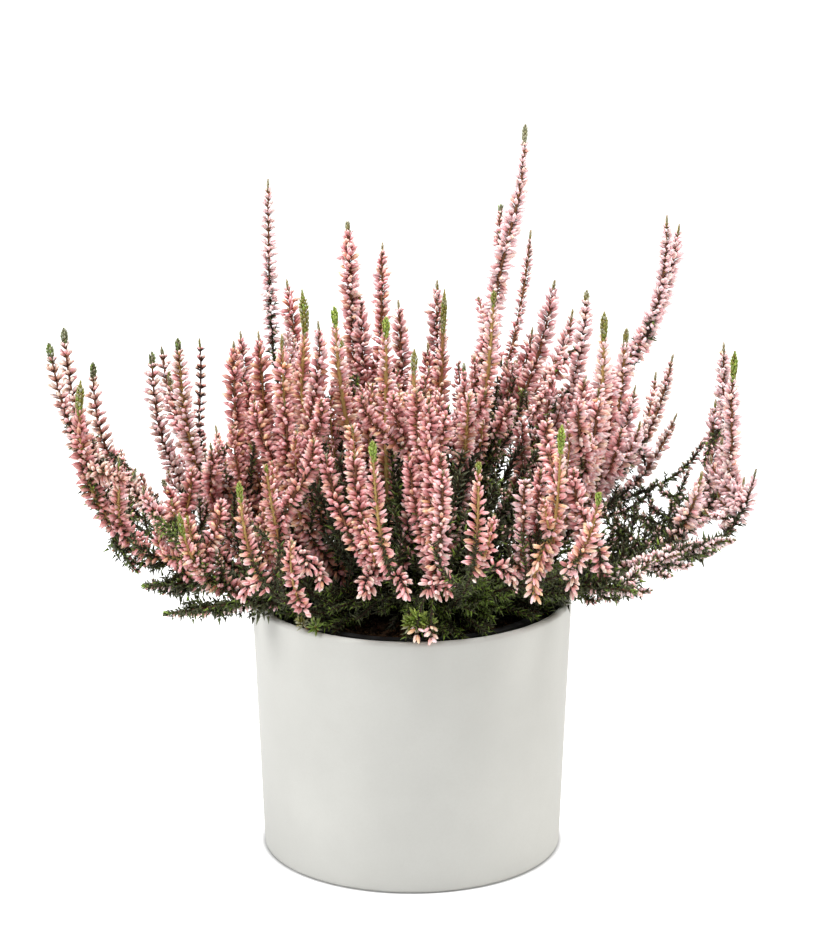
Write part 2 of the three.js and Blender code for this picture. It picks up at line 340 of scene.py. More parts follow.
class Shader:
    """A material made from nodes, with a Principled shader at its end."""

    def __init__(self, name, **sockets):
        self.material = bpy.data.materials.new(name)
        self.material.use_nodes = True
        self.nodes = self.material.node_tree.nodes
        self.links = self.material.node_tree.links
        self.end = self.nodes["Principled BSDF"]
        self.place = self.nodes.new("ShaderNodeTexCoord").outputs["Object"]
        for socket, value in sockets.items():
            self.end.inputs[socket.replace("_", " ")].default_value = value

    def attribute(self, name):
        node = self.nodes.new("ShaderNodeAttribute")
        node.attribute_name = name
        return node.outputs["Fac"]

    def noise(self, scale, detail, roughness=0.55, stretch=None):
        node = self.nodes.new("ShaderNodeTexNoise")
        node.inputs["Scale"].default_value = scale
        node.inputs["Detail"].default_value = detail
        node.inputs["Roughness"].default_value = roughness
        place = self.place
        if stretch:
            mapping = self.nodes.new("ShaderNodeMapping")
            mapping.inputs["Scale"].default_value = stretch
            self.links.new(self.place, mapping.inputs["Vector"])
            place = mapping.outputs["Vector"]
        self.links.new(place, node.inputs["Vector"])
        return node.outputs["Fac"]

    def ramp(self, value, stops):
        node = self.nodes.new("ShaderNodeValToRGB")
        elements = node.color_ramp.elements
        while len(elements) < len(stops):
            elements.new(0.5)
        for element, (position, colour) in zip(elements, stops):
            element.position = position
            element.color = linear(colour)
        self.links.new(value, node.inputs["Fac"])
        return node.outputs["Color"]

    def mix(self, share, first, second):
        """Mixes a colour with a second one, which is a socket or a hex string."""
        node = self.nodes.new("ShaderNodeMix")
        node.data_type = "RGBA"
        self.links.new(share, node.inputs["Factor"])
        self.links.new(first, node.inputs[6])
        if isinstance(second, str):
            node.inputs[7].default_value = linear(second)
        else:
            self.links.new(second, node.inputs[7])
        return node.outputs[2]

    def spread(self, value, low, high, to_low=0.0, to_high=1.0):
        """Maps a value from one range to another, held at the ends."""
        node = self.nodes.new("ShaderNodeMapRange")
        ends = {"From Min": low, "From Max": high, "To Min": to_low, "To Max": to_high}
        for socket, number in ends.items():
            node.inputs[socket].default_value = number
        self.links.new(value, node.inputs["Value"])
        return node.outputs["Result"]

    def colour(self, socket):
        self.links.new(socket, self.end.inputs["Base Color"])

    def roughness(self, socket):
        self.links.new(socket, self.end.inputs["Roughness"])

    def bump(self, height, strength, distance):
        node = self.nodes.new("ShaderNodeBump")
        node.inputs["Strength"].default_value = strength
        node.inputs["Distance"].default_value = distance
        self.links.new(height, node.inputs["Height"])
        self.links.new(node.outputs["Normal"], self.end.inputs["Normal"])


def ceramic():
    shader = Shader("matt_white_ceramic", Specular_IOR_Level=0.35)
    clouds = shader.noise(22.0, 3.0)
    specks = shader.noise(900.0, 2.0)
    body = shader.ramp(clouds, [(0.3, "#b9b9b4"), (0.7, "#c2c2bd")])
    shader.colour(shader.mix(shader.spread(specks, 0.35, 0.75, 0.0, 0.12), body, "#b0aea7"))
    shader.roughness(shader.spread(clouds, 0.3, 0.7, 0.5, 0.62))
    shader.bump(shader.noise(420.0, 4.0), 0.12, 0.0004)
    return shader.material


def black_plastic():
    shader = Shader("black_plastic", Specular_IOR_Level=0.4)
    dust = shader.noise(160.0, 4.0)
    shader.colour(shader.ramp(dust, [(0.3, "#141415"), (0.75, "#2a2a2a")]))
    shader.roughness(shader.spread(dust, 0.3, 0.8, 0.45, 0.75))
    shader.bump(dust, 0.15, 0.0003)
    return shader.material


def peat_soil():
    shader = Shader("peat", Roughness=0.95, Specular_IOR_Level=0.2)
    crumbs = shader.noise(420.0, 5.0, 0.65)
    shader.colour(shader.ramp(crumbs, [(0.3, "#1c140c"), (0.5, "#4c3722"), (0.72, "#806142")]))
    shader.bump(crumbs, 0.6, 0.001)
    return shader.material


def bark():
    shader = Shader("bark", Roughness=0.85, Specular_IOR_Level=0.25)
    grain = shader.noise(260.0, 4.0, 0.6, (1.0, 1.0, 0.25))
    shader.colour(shader.ramp(grain, [(0.3, "#1d140d"), (0.55, "#46321f"), (0.8, "#6d5238")]))
    shader.bump(grain, 0.5, 0.0006)
    return shader.material


def petals():
    """Bud sepals: brown at the foot, then pink and pale at the tip. Tone 0 is cream, 0.5
    rose and 1 peach, and tint 0 is dusky and 1 pale. The tint is partly the buds' own
    colour and partly painted shade (dusky) and painted light (pale)."""
    shader = Shader("bud_petals", Roughness=0.55, Specular_IOR_Level=0.3)
    along = shader.attribute("along")
    tint = shader.attribute("tint")
    tone = shader.attribute("tone")
    rose = shader.ramp(along, [(0.0, "#6c342a"), (0.25, "#d68a86"), (0.6, "#f9b3b8"), (1.0, "#fbd8d5")])
    peach = shader.ramp(along, [(0.0, "#8a5a30"), (0.27, "#de9f6c"), (0.6, "#f8ca9c"), (1.0, "#fbe3bf")])
    cream = shader.ramp(along, [(0.0, "#4f3222"), (0.3, "#ab7f68"), (0.6, "#e2c2ac"), (1.0, "#fbf2e6")])
    body = shader.mix(shader.spread(tone, 0.62, 1.0), rose, peach)
    body = shader.mix(shader.spread(tone, 0.38, 0.0), body, cream)
    # Pale mix for a high tint: partly bud colour, partly painted light.
    body = shader.mix(shader.spread(tint, 0.5, 1.0, 0.0, 0.55), body, "#fcecef")
    # Dusky mix for a low tint: partly bud colour, partly painted shade.
    body = shader.mix(shader.spread(tint, 0.5, 0.0, 0.0, 0.6), body, "#a0605a")
    veins = shader.noise(1500.0, 2.0)
    shader.colour(shader.mix(shader.spread(veins, 0.4, 0.85, 0.0, 0.15), body, "#c87f7c"))
    shader.bump(veins, 0.25, 0.0002)
    shader.end.inputs["Subsurface Weight"].default_value = 0.15
    shader.end.inputs["Subsurface Radius"].default_value = (1.0, 0.45, 0.35)
    shader.end.inputs["Subsurface Scale"].default_value = 0.0012
    return shader.material


def foliage():
    """Scale leaves: tone 0 is blackish green, 0.27 moss, 0.38 olive, 0.56 grey-green, 0.7
    golden olive and 1 lime."""
    shader = Shader("scale_leaves", Roughness=0.5, Specular_IOR_Level=0.35)
    along = shader.attribute("along")
    tint = shader.attribute("tint")
    tone = shader.attribute("tone")
    leaf = shader.ramp(tone, [
        (0.0, "#2b2e1c"), (0.14, "#4a4f30"), (0.27, "#88a83c"), (0.38, "#595f3c"),
        (0.56, "#b3b295"), (0.65, "#857b2e"), (0.73, "#8c8a33"), (0.8, "#7f9838"), (1.0, "#b6cb56"),
    ])
    leaf = shader.mix(shader.spread(along, 0.5, 1.0, 0.0, 0.2), leaf, "#c6c89a")
    leaf = shader.mix(shader.spread(tint, 0.4, 0.0, 0.0, 0.4), leaf, "#15190c")
    grain = shader.noise(1400.0, 2.0)
    shader.colour(shader.mix(shader.spread(grain, 0.35, 0.8, 0.0, 0.3), leaf, "#2c3016"))
    shader.bump(grain, 0.2, 0.0002)
    return shader.material


def stems():
    """Stems: tone 0 is dark brown, 1 golden olive."""
    shader = Shader("stems", Roughness=0.65, Specular_IOR_Level=0.3)
    tone = shader.attribute("tone")
    skin = shader.ramp(tone, [
        (0.0, "#20160f"), (0.15, "#4a3225"), (0.4, "#80543f"), (0.7, "#b08a50"), (1.0, "#cbb06c"),
    ])
    grain = shader.noise(900.0, 3.0, 0.6, (1.0, 1.0, 0.3))
    shader.colour(shader.mix(shader.spread(grain, 0.35, 0.8, 0.0, 0.45), skin, "#4b3020"))
    shader.bump(grain, 0.3, 0.0003)
    return shader.material


CERAMIC = ceramic()
BLACK_PLASTIC = black_plastic()
PEAT = peat_soil()
BARK = bark()
PETALS = petals()
LEAVES = foliage()
STEMS = stems()
SHOOT_MATERIALS = (PETALS, LEAVES, STEMS)
PETAL_SLOT, LEAF_SLOT, STEM_SLOT = range(3)

# ------------------------------------------------------------------ shoots


class Look:
    """How one shoot grows. Lengths are in millimetres and angles in degrees."""

    flowering = 90.0    # length of the flowering spike
    fade = 20.0         # length below it over which the buds thin out
    gap = 1.8           # between whorls of buds
    low_gap = 1.8       # between whorls at the foot of the spike
    ranks = 2           # buds in a whorl
    scatter = 1.0       # how far buds stray from their ranks
    flat = 0.0          # how far they turn to the sides, so that the stem shows
    bud = 4.6           # length of a full bud
    width = 0.98        # half the width of a full bud
    ripening = 16.0     # length over which buds grow to full size
    lean = 66.0         # angle between full buds and the stem
    top_lean = 36.0     # the same at the green tip
    hang = 92.0         # the same for the lowest buds
    droop = 0.35        # how far the lower buds are drawn down, or all buds from 1 on
    tip = 6.0           # length of the green tip
    girth = 0.25        # how full the green tip is, to 1 and a little over
    tip_tone = 0.58     # 0.4 olive, 0.58 grey-green, 0.7 golden olive to 1 lime
    stem = 1.0          # half the width of the stem at its foot
    stem_tone = 0.3     # 0 dark brown to 1 golden olive
    tone = 0.5          # buds: 0 cream and brown, 0.5 rose, 1 peach
    # Beside the buds' own colour, a low tint also paints shade on them and a high one paints light.
    tint = 0.5          # buds: 0 dusky to 1 pale
    bract = 2.0         # length of the leaf under a bud
    leaf_tone = 0.12    # 0 blackish green to 0.27 moss
    leafy = 0.25        # share of the flowering part that bears leaves too
    branchlets = 0.0    # gap between leafy branchlets, or 0 for none
    branchlet = 4.6     # length of a branchlet
    rise = 1.0          # how upright a side spike ends, from 0 level to 1
    hangs = False       # whether a side spike hangs over the rim instead
    trim = 0.0          # how far it stops short of the CAD shoot's tip
    sway = 0.0          # how far its middle bows to the right of the CAD shoot
    room = 0.0          # how far from its tip a side spike starts, at least
    spikes = 3          # seeded side spikes
    twigs = 5           # seeded leafy twigs
    template = BUD      # form of a bud

    def __init__(self, **changes):
        for name, value in changes.items():
            assert hasattr(self, name), name
            setattr(self, name, value)


# Kinds of shoots. OPEN shows its stem between the whorls, SLIM and DENSE hide it, and
# GOLDEN and FRONT have a golden stem and rose to peach buds. LEAFY, CONE and LIME are
# added to these. FILL is a short spike between others, TWIG and TUFT are leafy twigs, LOW
# and FEATHER low leafy shoots, HANGING is a cluster over the rim and SEEDED a small spike
# at a seeded place.
OPEN = dict(
    gap=4.1, low_gap=2.1, ranks=6, bud=4.7, width=0.96, stem_tone=0.42, tone=0.25, ripening=8,
    lean=62, top_lean=46, hang=76, bract=3.4, stem=0.8, scatter=0.8,
)
OPEN_BROWN = dict(OPEN, tone=0, tint=0.55)
SLIM = dict(
    ranks=4, bud=4.95, lean=64, top_lean=42, hang=82, tone=0.4, ripening=10, scatter=1.35,
    flat=0.25, stem_tone=0.48, template=SMALL_BUD,
)
DENSE = dict(
    gap=1.85, low_gap=1.85, ranks=4, bud=5.05, width=1.02, lean=70, ripening=12, flat=0.35,
    scatter=1.5, stem_tone=0.45, template=SMALL_BUD,
)
# FILL, FRONT and HANGING take a low tint, which paints shade on their buds.
FILL = dict(
    DENSE, ripening=7, top_lean=48, tip=2, tip_tone=0.6, bud=4.4, width=0.92, tint=0.25, template=BUD
)
GOLDEN = dict(
    stem_tone=0.9, tone=0.7, hang=100, stem=1.4, bud=4.3, width=0.88, gap=1.9, ranks=3, flat=0.4,
    template=FRONT_BUD,
)
FRONT = dict(
    GOLDEN, spikes=1, twigs=4, tone=0.6, tint=0.2, ranks=2, leaf_tone=0.1, stem=0.8,
    branchlets=2.4, branchlet=3.6,
)
LEAFY = dict(spikes=0, twigs=4, branchlets=1.6, branchlet=5, leafy=0.3, fade=22, leaf_tone=0.08)
FEATHER = dict(
    flowering=40, fade=16, gap=2.6, low_gap=2.6, ranks=3, bud=3.6, width=0.7, tone=0.2, tint=0.7,
    droop=2, tip=3, girth=0.7, tip_tone=0.2, leaf_tone=0.11, leafy=1, branchlets=0.9,
    branchlet=6.6, rise=0.1, spikes=0, twigs=0,
)
TWIG = dict(
    fade=12, gap=2.6, low_gap=2.6, ranks=3, bud=3.2, width=0.7, tone=0.3, tint=0.35, tip=2.5,
    tip_tone=0.41, leafy=1, branchlets=1.8, branchlet=3.8, rise=0.8, room=20,
)
TUFT = dict(TWIG, branchlets=1.1, branchlet=4.8)
LOW = dict(
    SLIM, fade=14, tone=0.25, tint=0.6, bud=3.3, tip=3, tip_tone=0.41, leafy=1, branchlets=1.4,
    branchlet=5.6, rise=0.3,
)
CONE = dict(tip=9, girth=1, tip_tone=0.4)
LIME = dict(CONE, tip_tone=0.86)
HANGING = dict(
    flowering=13, fade=4, gap=2.4, low_gap=2.4, ranks=4, bud=4.5, width=0.88, ripening=0.5,
    lean=46, top_lean=26, hang=62, tip=0.5, girth=0.2, stem_tone=0.1, stem=0.6, tone=0.3,
    tint=0.32, scatter=1.4, hangs=True, template=FRONT_BUD,
)
SEEDED = dict(
    stem=0.5, gap=2, low_gap=1.9, ranks=3, bud=4, width=0.95, fade=6, tip=2.5, ripening=9,
    bract=0, template=SMALL_BUD,
)
SIDE_STEM = 0.6

# The look of each CAD shoot.
LOOKS = {
    "far_left_1": dict(OPEN_BROWN, **CONE, flowering=72, branchlets=1.8, leafy=0.65, spikes=2),
    "far_left_2": dict(OPEN_BROWN, **CONE, flowering=80, branchlets=2, leafy=0.6, spikes=2),
    "far_left_3": dict(DENSE, flowering=80, tip=15, girth=1.2, tip_tone=0.68, tone=0.6, stem_tone=0.9,
                       branchlets=1.8, leafy=0.75, tint=0),
    "far_left_4": dict(OPEN_BROWN, **CONE, flowering=80, branchlets=3),
    "left_1": dict(OPEN, flowering=85, tip=7, girth=0.9, tip_tone=0.4, twigs=7, tint=0.85, tone=0.1),
    "left_2": dict(OPEN, flowering=80, tip_tone=0.45, girth=0.5, twigs=7, tint=0.85, tone=0.1),
    "left_3": dict(OPEN, flowering=95, tip=7, girth=0.85, stem_tone=0.75, flat=0.3, gap=3,
                   tip_tone=0.4, twigs=7, tint=0.8),
    "left_4": dict(DENSE, flowering=50, tip_tone=0.4, girth=0.6, branchlets=1.6, leafy=0.7,
                   spikes=2, tint=0.25),
    "left_5": dict(DENSE, flowering=45, tip=13, girth=0.8, tip_tone=0.75, stem_tone=0.9, branchlets=1.6,
                   leafy=0.7, spikes=2, tone=0.7, tint=0.25),
    "inner_left_1": dict(SLIM, flowering=105, tip_tone=0.5, girth=0.4, gap=2, tint=0.2, tone=0.6),
    "inner_left_2": dict(DENSE, flowering=105, tint=0.15, tone=0.65, stem_tone=0.6),
    "inner_left_3": dict(SLIM, flowering=100, tint=0.2, tone=0.55),
    "inner_left_4": dict(GOLDEN, flowering=125, tip=20, girth=1.3, tip_tone=0.69, ranks=4, sway=-5, tint=0.25,
                         tone=0.7),
    "inner_left_5": dict(DENSE, flowering=110, tip=8, girth=0.5, tip_tone=0.62, stem_tone=0.8,
                         tone=0.7, tint=0.2),
    "centre_1": dict(GOLDEN, **LIME, flowering=120),
    "centre_2": dict(SLIM, flowering=125, gap=1.5, bud=5, low_gap=1.7, tint=0.2, tone=0.5,
                     ranks=5, girth=0.6, flat=0),
    "centre_3": dict(SLIM, flowering=100, gap=1.6, bud=4, tint=0.36, tone=0.6),
    "centre_4": dict(GOLDEN, **LIME, flowering=120),
    "centre_5": dict(SLIM, flowering=90),
    "centre_6": dict(GOLDEN, flowering=120, tip=11, girth=0.9, tip_tone=0.62),
    "centre_7": dict(SLIM, flowering=100, girth=0.4),
    "centre_8": dict(GOLDEN, flowering=125, tip=20, girth=0.8, tip_tone=0.65, stem_tone=0.6),
    "centre_9": dict(DENSE, flowering=110, girth=0.5, tip_tone=0.41, bud=4.2),
    "centre_10": dict(GOLDEN, flowering=125, tip=7, girth=0.8, tip_tone=0.67),
    "tall_1": dict(OPEN, flowering=56, fade=30, gap=3.4, ranks=6, bud=4, width=0.74, stem=0.6, tone=0.35,
                   tint=1, bract=2, scatter=1.3, stem_tone=0.5, branchlets=2.6, branchlet=3.6, leafy=0.2),
    "tall_2": dict(SLIM, flowering=112, tip=10, girth=0.7, tip_tone=0.52, gap=2.4, tone=0.45,
                   ranks=5, ripening=36, sway=-6, twigs=0),
    "inner_right_1": dict(SLIM, flowering=80, gap=2.1, bud=2.9, width=0.62, flat=0),
    "inner_right_2": dict(SLIM, flowering=85, girth=0.5),
    "inner_right_3": dict(OPEN, flowering=95, tip=7, girth=0.7, gap=3, tone=0.4, tint=0.65, bract=2.6),
    "inner_right_4": dict(GOLDEN, flowering=115, tip=13, girth=1.1, tip_tone=0.67, spikes=4, ranks=4, bud=4.8,
                          width=1),
    "right_1": dict(DENSE, flowering=95, tip=9, girth=0.8, spikes=4, stem_tone=0.6, hang=80),
    "right_2": dict(SLIM, flowering=54, fade=26, branchlets=4, tint=0.4, tone=0.4, bud=3.7, spikes=1),
    "right_3": dict(SLIM, **LEAFY, flowering=52, gap=2.2, tone=0.1, tint=0.4, bud=3.3),
    "right_4": dict(SLIM, **LEAFY, flowering=40, gap=2.2, tone=0.1, tint=0.4, bud=3.3),
    "far_right_1": dict(SLIM, **LEAFY, flowering=68, tone=0.3, bud=4.6, tint=0.55, sway=9),
    "far_right_2": dict(SLIM, **LEAFY, flowering=78, tip=14, girth=1, tip_tone=0.78, tone=0.6, sway=8,
                        bud=4.6),
    "far_right_3": dict(DENSE, **LEAFY, flowering=19, tip_tone=0.45, tone=0.3),
    "far_right_4": dict(DENSE, **LEAFY, flowering=26, tone=0.7, stem_tone=0.8, girth=0.5),
    "low_right_1": dict(LOW, flowering=50, branchlets=1.1, branchlet=6.5, spikes=0, twigs=6),
    "low_right_2": dict(FEATHER, flowering=24, tone=0.4),
    "low_left_1": dict(FEATHER, branchlets=0.8, branchlet=7.2),
    "low_left_2": dict(FEATHER, branchlets=0.8, branchlet=7.2),
    "front_1": dict(FRONT, flowering=42, tip=9, girth=0.8, tip_tone=0.82),
    "front_2": dict(FRONT, flowering=45, tip=2, girth=0.6, tip_tone=0.7),
    "front_3": dict(FRONT, **LIME, flowering=56),
    "front_4": dict(FRONT, flowering=40, tip=5, girth=0.8, tip_tone=0.75),
    "front_5": dict(FRONT, flowering=68, tip=13, girth=1, tip_tone=0.92),
    "front_6": dict(FRONT, flowering=34, fade=12, girth=0.8, tip_tone=0.85, ranks=3, bud=4.6, width=0.95),
    "low_front_1": dict(HANGING, trim=17, spikes=1),
    "low_front_2": dict(HANGING, trim=17, spikes=1),
    "back_1": dict(DENSE, flowering=75, branchlets=4),
    "back_2": dict(DENSE, flowering=85, girth=0.7, branchlets=4),
    "back_3": dict(GOLDEN, flowering=90, tip=9, girth=0.8, tip_tone=0.8, template=BUD),
    "back_4": dict(DENSE, flowering=80, branchlets=4),
    "back_5": dict(DENSE, flowering=85, girth=0.7, branchlets=4),
    "back_6": dict(GOLDEN, flowering=95, tip=9, girth=0.8, tip_tone=0.7, template=BUD),
}

# Side spikes that the photo shows by themselves, by the shoot that carries them: the
# length of their flowering part, their look and their tips.
SIDE_SPIKES = {
    "far_left_2": [(4, dict(TWIG, tip=4), (-136, 5, 149), (-131, 0, 136))],
    "far_left_3": [
        (26, dict(DENSE, tip=6, girth=0.5, tip_tone=0.41, branchlets=2, tone=0.1, tint=0.2),
         (-118, -30, 178)),
        (38, dict(GOLDEN, tip=6, girth=0.5, tip_tone=0.41, tone=0.4, tint=0, template=BUD),
         (-125, -25, 183)),
        (14, dict(DENSE, tip_tone=0.41, branchlets=1.6, tone=0.2), (-119, -10, 174)),
        (6, TWIG, (-131, -10, 154), (-125, -5, 138)),
        (4, TUFT, (-126, -5, 140), (-123, -8, 134), (-119, -12, 129), (-112, -20, 127)),
    ],
    "far_left_4": [(7, dict(TWIG, room=14), (-125, 30, 163))],
    "left_2": [(62, dict(OPEN, bud=3, width=0.75, ranks=4, stem_tone=0.2), (-96, 72, 212))],
    "left_3": [
        (50, dict(OPEN, tip=9, girth=0.7, tip_tone=0.62), (-108, 45, 203)),
        (40, dict(DENSE, tip_tone=0.41), (-87, -5, 184)),
        (6, TWIG, (-81, 15, 179), (-77, 5, 169)),
        (45, dict(FILL, tone=0.65), (-71, 10, 190)),
    ],
    "left_4": [
        (38, dict(DENSE, tip_tone=0.41), (-114, -35, 173)),
        (6, TWIG, (-89, -15, 161)),
    ],
    "left_5": [
        (4, dict(TUFT, leaf_tone=0.17), (-112, -30, 163), (-105, -38, 159)),
        (6, TWIG, (-80, -25, 157), (-83, -42, 146)),
        (30, FILL, (-81, -35, 167)),
        (32, dict(FILL, stem_tone=0.8, branchlets=1.8, leafy=0.8, leaf_tone=0.16), (-102, -35, 167)),
        (28, dict(GOLDEN, ripening=7, tip=4, tip_tone=0.8, tint=0.25, template=BUD), (-95, -42, 162)),
        (14, dict(FILL, tone=0.65, stem_tone=0.8, branchlets=1.6, leafy=0.8), (-106, -40, 147)),
        (4, dict(TUFT, leaf_tone=0.17), (-100, -36, 150), (-92, -44, 148)),
    ],
    "inner_left_1": [
        (80, SLIM, (-76, 44, 222)),
        (45, FILL, (-72, 22, 204)),
    ],
    "inner_left_2": [
        (45, dict(FILL, tone=0.65), (-65, 20, 200)),
        (36, FILL, (-53, 12, 204)),
    ],
    "inner_left_5": [
        (80, dict(DENSE, bud=4.1), (-40, -10, 239)),
        (45, dict(FILL, tone=0.65), (-67, -20, 205)),
        (34, FILL, (-54, -25, 208)),
        (45, FILL, (-38, -35, 211)),
        (6, TWIG, (-47, -35, 171)),
        (8, TWIG, (-47, -20, 154), (-41, -10, 154)),
    ],
    "centre_2": [(70, SLIM, (-23, 28, 243))],
    "centre_6": [
        (40, FILL, (-21, -40, 214)),
        (38, FILL, (-8, -35, 213)),
        (40, FILL, (14, -50, 208)),
    ],
    "centre_7": [(70, SLIM, (7, 30, 220))],
    "centre_9": [
        (40, dict(GOLDEN, ripening=7, tip=2), (24, -35, 213)),
        (28, FILL, (31, -35, 215)),
        (6, TWIG, (42, -30, 170)),
    ],
    "centre_10": [
        (30, dict(FILL, tone=0.3, tint=0.3), (42, -10, 204)),
        (6, TWIG, (38, -10, 180), (47, 0, 180)),
    ],
    "tall_2": [(14, dict(SLIM, bud=3, tip=4, girth=0.7, tip_tone=0.41, tint=0.3, room=36), (39, 46, 278))],
    "inner_right_1": [(70, SLIM, (54, 60, 220))],
    "inner_right_2": [
        (65, dict(SLIM, gap=2.4), (72, 62, 228)),
        (50, SLIM, (25, 15, 206)),
    ],
    "inner_right_3": [
        (35, dict(FILL, tone=0.3, tint=0.3), (51, -5, 199)),
        (6, TWIG, (58, 10, 186)),
        (36, FILL, (48, 0, 193)),
    ],
    "inner_right_4": [
        (6, TWIG, (51, -10, 173)),
        (45, FILL, (71, -25, 208)),
        (45, dict(FILL, tint=0.6), (80, -10, 209)),
        (45, FILL, (74, -8, 213)),
        (40, dict(FILL, tone=0.65), (80, -12, 205)),
    ],
    "right_1": [
        (45, SLIM, (97, 10, 206)),
        (45, FILL, (86, 2, 214)),
        (40, dict(SLIM, tint=0.7), (99, 5, 191)),
        (38, FILL, (90, -5, 190)),
    ],
    "right_2": [
        (40, SLIM, (57, 20, 200)),
        (45, SLIM, (61, 25, 198)),
        (80, dict(SLIM, fade=30), (117, 40, 271)),
    ],
    "right_3": [(45, dict(SLIM, gap=2.2, tone=0.1, tint=0.4, bud=3.3), (111, 78, 195))],
    "right_4": [
        (45, SLIM, (72, 25, 201)),
        (12, dict(TWIG, room=62), (129, 25, 178)),
        (6, dict(TWIG, room=48), (107, 25, 158)),
        (6, dict(TWIG, room=40), (88, 30, 157)),
    ],
    "far_right_1": [
        (44, SLIM, (133, 20, 197)),
        (6, dict(TWIG, room=40), (100, 15, 150)),
        (6, dict(TWIG, room=30), (91, 5, 155), (87, -10, 146)),
        (8, dict(TWIG, room=40), (122, 20, 165)),
        (8, TWIG, (128, 10, 171), (108, 0, 145)),
        (6, TWIG, (105, 5, 156), (109, 5, 163), (101, 0, 151), (113, 0, 157)),
    ],
    "far_right_2": [(8, TWIG, (103, -8, 141))],
    "far_right_3": [
        (15, dict(DENSE, tone=0.3), (144, -3, 168)),
        (30, SLIM, (135, 8, 183)),
        (26, dict(SLIM, tint=0.6), (130, 4, 176)),
        (18, SLIM, (138, 10, 168)),
        (14, dict(SLIM, tint=0.6), (133, 0, 161)),
        (10, dict(SLIM, bud=3.4), (126, -10, 156)),
        (9, dict(SLIM, tone=0.2, tint=0.7), (141, 0, 148), (135, 5, 153)),
    ],
    "far_right_4": [
        (6, dict(TWIG, room=30), (99, -5, 142)),
        (8, TWIG, (83, -20, 161), (88, -20, 158)),
    ],
    "low_right_1": [
        (6, dict(TWIG, room=30), (92, -20, 138)),
        (22, LOW, (139, -20, 145)),
        (20, LOW, (131, -25, 141)),
        (18, LOW, (120, -35, 138)),
        (16, LOW, (111, -40, 135)),
        (20, dict(LOW, branchlets=0), (125, -30, 146), (114, -38, 144)),
        (18, dict(LOW, branchlets=0), (103, -40, 142)),
    ],
    "low_right_2": [
        (40, FILL, (68, -45, 183)),
        (16, FILL, (70, -35, 167)),
        (16, LOW, (105, -35, 140)),
        (12, dict(LOW, tone=0.5), (102, -45, 130)),
        (8, TWIG, (89, -50, 130)),
        (6, TWIG, (80, -50, 129)),
    ],
    "low_left_1": [
        (16, FEATHER, (-109, -22, 122)),
        (10, FEATHER, (-84, -30, 125)),
        (40, dict(FILL, stem_tone=0.8), (-95, -15, 175)),
    ],
    "low_left_2": [
        (12, FEATHER, (-84, -46, 120)),
        (10, FEATHER, (-76, -40, 122)),
    ],
    "front_1": [(13, HANGING, (-71, -50, 130))],
    "front_2": [
        (40, FILL, (-41, -45, 196)),
        (6, TWIG, (-69, -40, 160)),
        (13, HANGING, (-44, -60, 145)),
        (9, HANGING, (-38, -60, 139)),
    ],
    "front_3": [(13, HANGING, (-3, -72, 138))],
    "front_4": [
        (11, HANGING, (7, -70, 139)),
        (10, HANGING, (41, -62, 142)),
    ],
    "front_5": [
        (6, TWIG, (36, -45, 161), (56, -45, 161)),
        (50, FILL, (54, -50, 184)),
        (35, dict(FILL, tone=0.65), (57, -35, 202)),
        (22, dict(HANGING, tone=0.9, stem_tone=0.9), (51, -68, 136)),
    ],
    "front_6": [
        (46, dict(FILL, tint=0.6), (47, -55, 181)),
        (18, HANGING, (67, -62, 136)),
    ],
    "low_front_1": [
        (50, dict(GOLDEN, ripening=7, tip=2, tint=0.3), (-25, -45, 202)),
        (6, TWIG, (-30, -45, 179)),
        (42, dict(FILL, tone=0.3), (-24, -50, 191)),
        (42, FILL, (-36, -46, 190)),
        (13, HANGING, (-20, -71, 138)),
    ],
    "low_front_2": [
        (60, FILL, (2, -40, 216), (7, -50, 212)),
        (38, dict(FILL, tint=0.6), (13, -65, 188)),
        (34, FILL, (-1, -50, 190)),
        (50, FILL, (12, -60, 194)),
        (13, HANGING, (15, -70, 138)),
        (5, dict(HANGING, fade=1, tone=0.8, tint=0.9, bud=3.8), (8, -71, 118)),
        (3, dict(HANGING, fade=1, tone=0.8, tint=0.9, bud=3.8), (2, -70, 119)),
    ],
}

# Painted light: buds are made paler on the right of the bush and high up, where more
# light falls on them: by how much of a tint, and over which stretch of +X and of height
# this comes in.
PAINTED_LIGHT = 0.55
PAINTED_LIGHT_BETWEEN = (0, 130)
PAINTED_LIGHT_HIGH = 0.5
PAINTED_LIGHT_ABOVE = (195, 260)
# How far from the middle of a stem its buds and leaves start.
SETBACK = 0.3
# Angles to the stem, each with its spread.
LEAF_LEAN = (42, 9)
BRANCHLET_LEAN = (50, 10)
LEAF_GAP = 1.6
LEAF_LENGTH = 3.0
# The leaves of a branchlet, and the turn in radians from each to the next.
BRANCHLET_LEAVES = 4
BRANCHLET_TURN = 2.4
# Scale leaves and branchlets start at this share of a stem's length.
LEAFY_FROM = 0.08
# Half the width of a stem at its tip, and of a twig at its foot and tip.
STEM_END = 0.3
TWIG_STEM = (0.45, 0.25)
# The angle round the stem, in degrees, of the first bud in every other whorl.
RANKS_START = 45
# Side spikes leave their stem between these shares of its length.
SIDE_BETWEEN = (0.15, 0.85)
UP = np.array([0.0, 0.0, 1.0])
RIGHT = np.array([1.0, 0.0, 0.0])

# The bush is full up to this height in its middle and at its sides, which it reaches
# between the two distances from its axis. Seeded tips that rise above it are lowered.
FULL_HEIGHT = (210, 150)
FULL_BETWEEN = (55, 115)
# Seeded side spikes and twigs: their lengths, where along their stem they leave it, as
# shares of its length, and how far they spread.
SEEDED_SPIKES = ((34, 62), (0.2, 0.62), 0.35)
SEEDED_TWIGS = ((16, 38), (0.08, 0.55), 0.7)
# The gap, length, ranks and breadth of the leaves on a seeded twig.
TWIG_LEAVES = (1.4, 3.4, 2, 0.36)


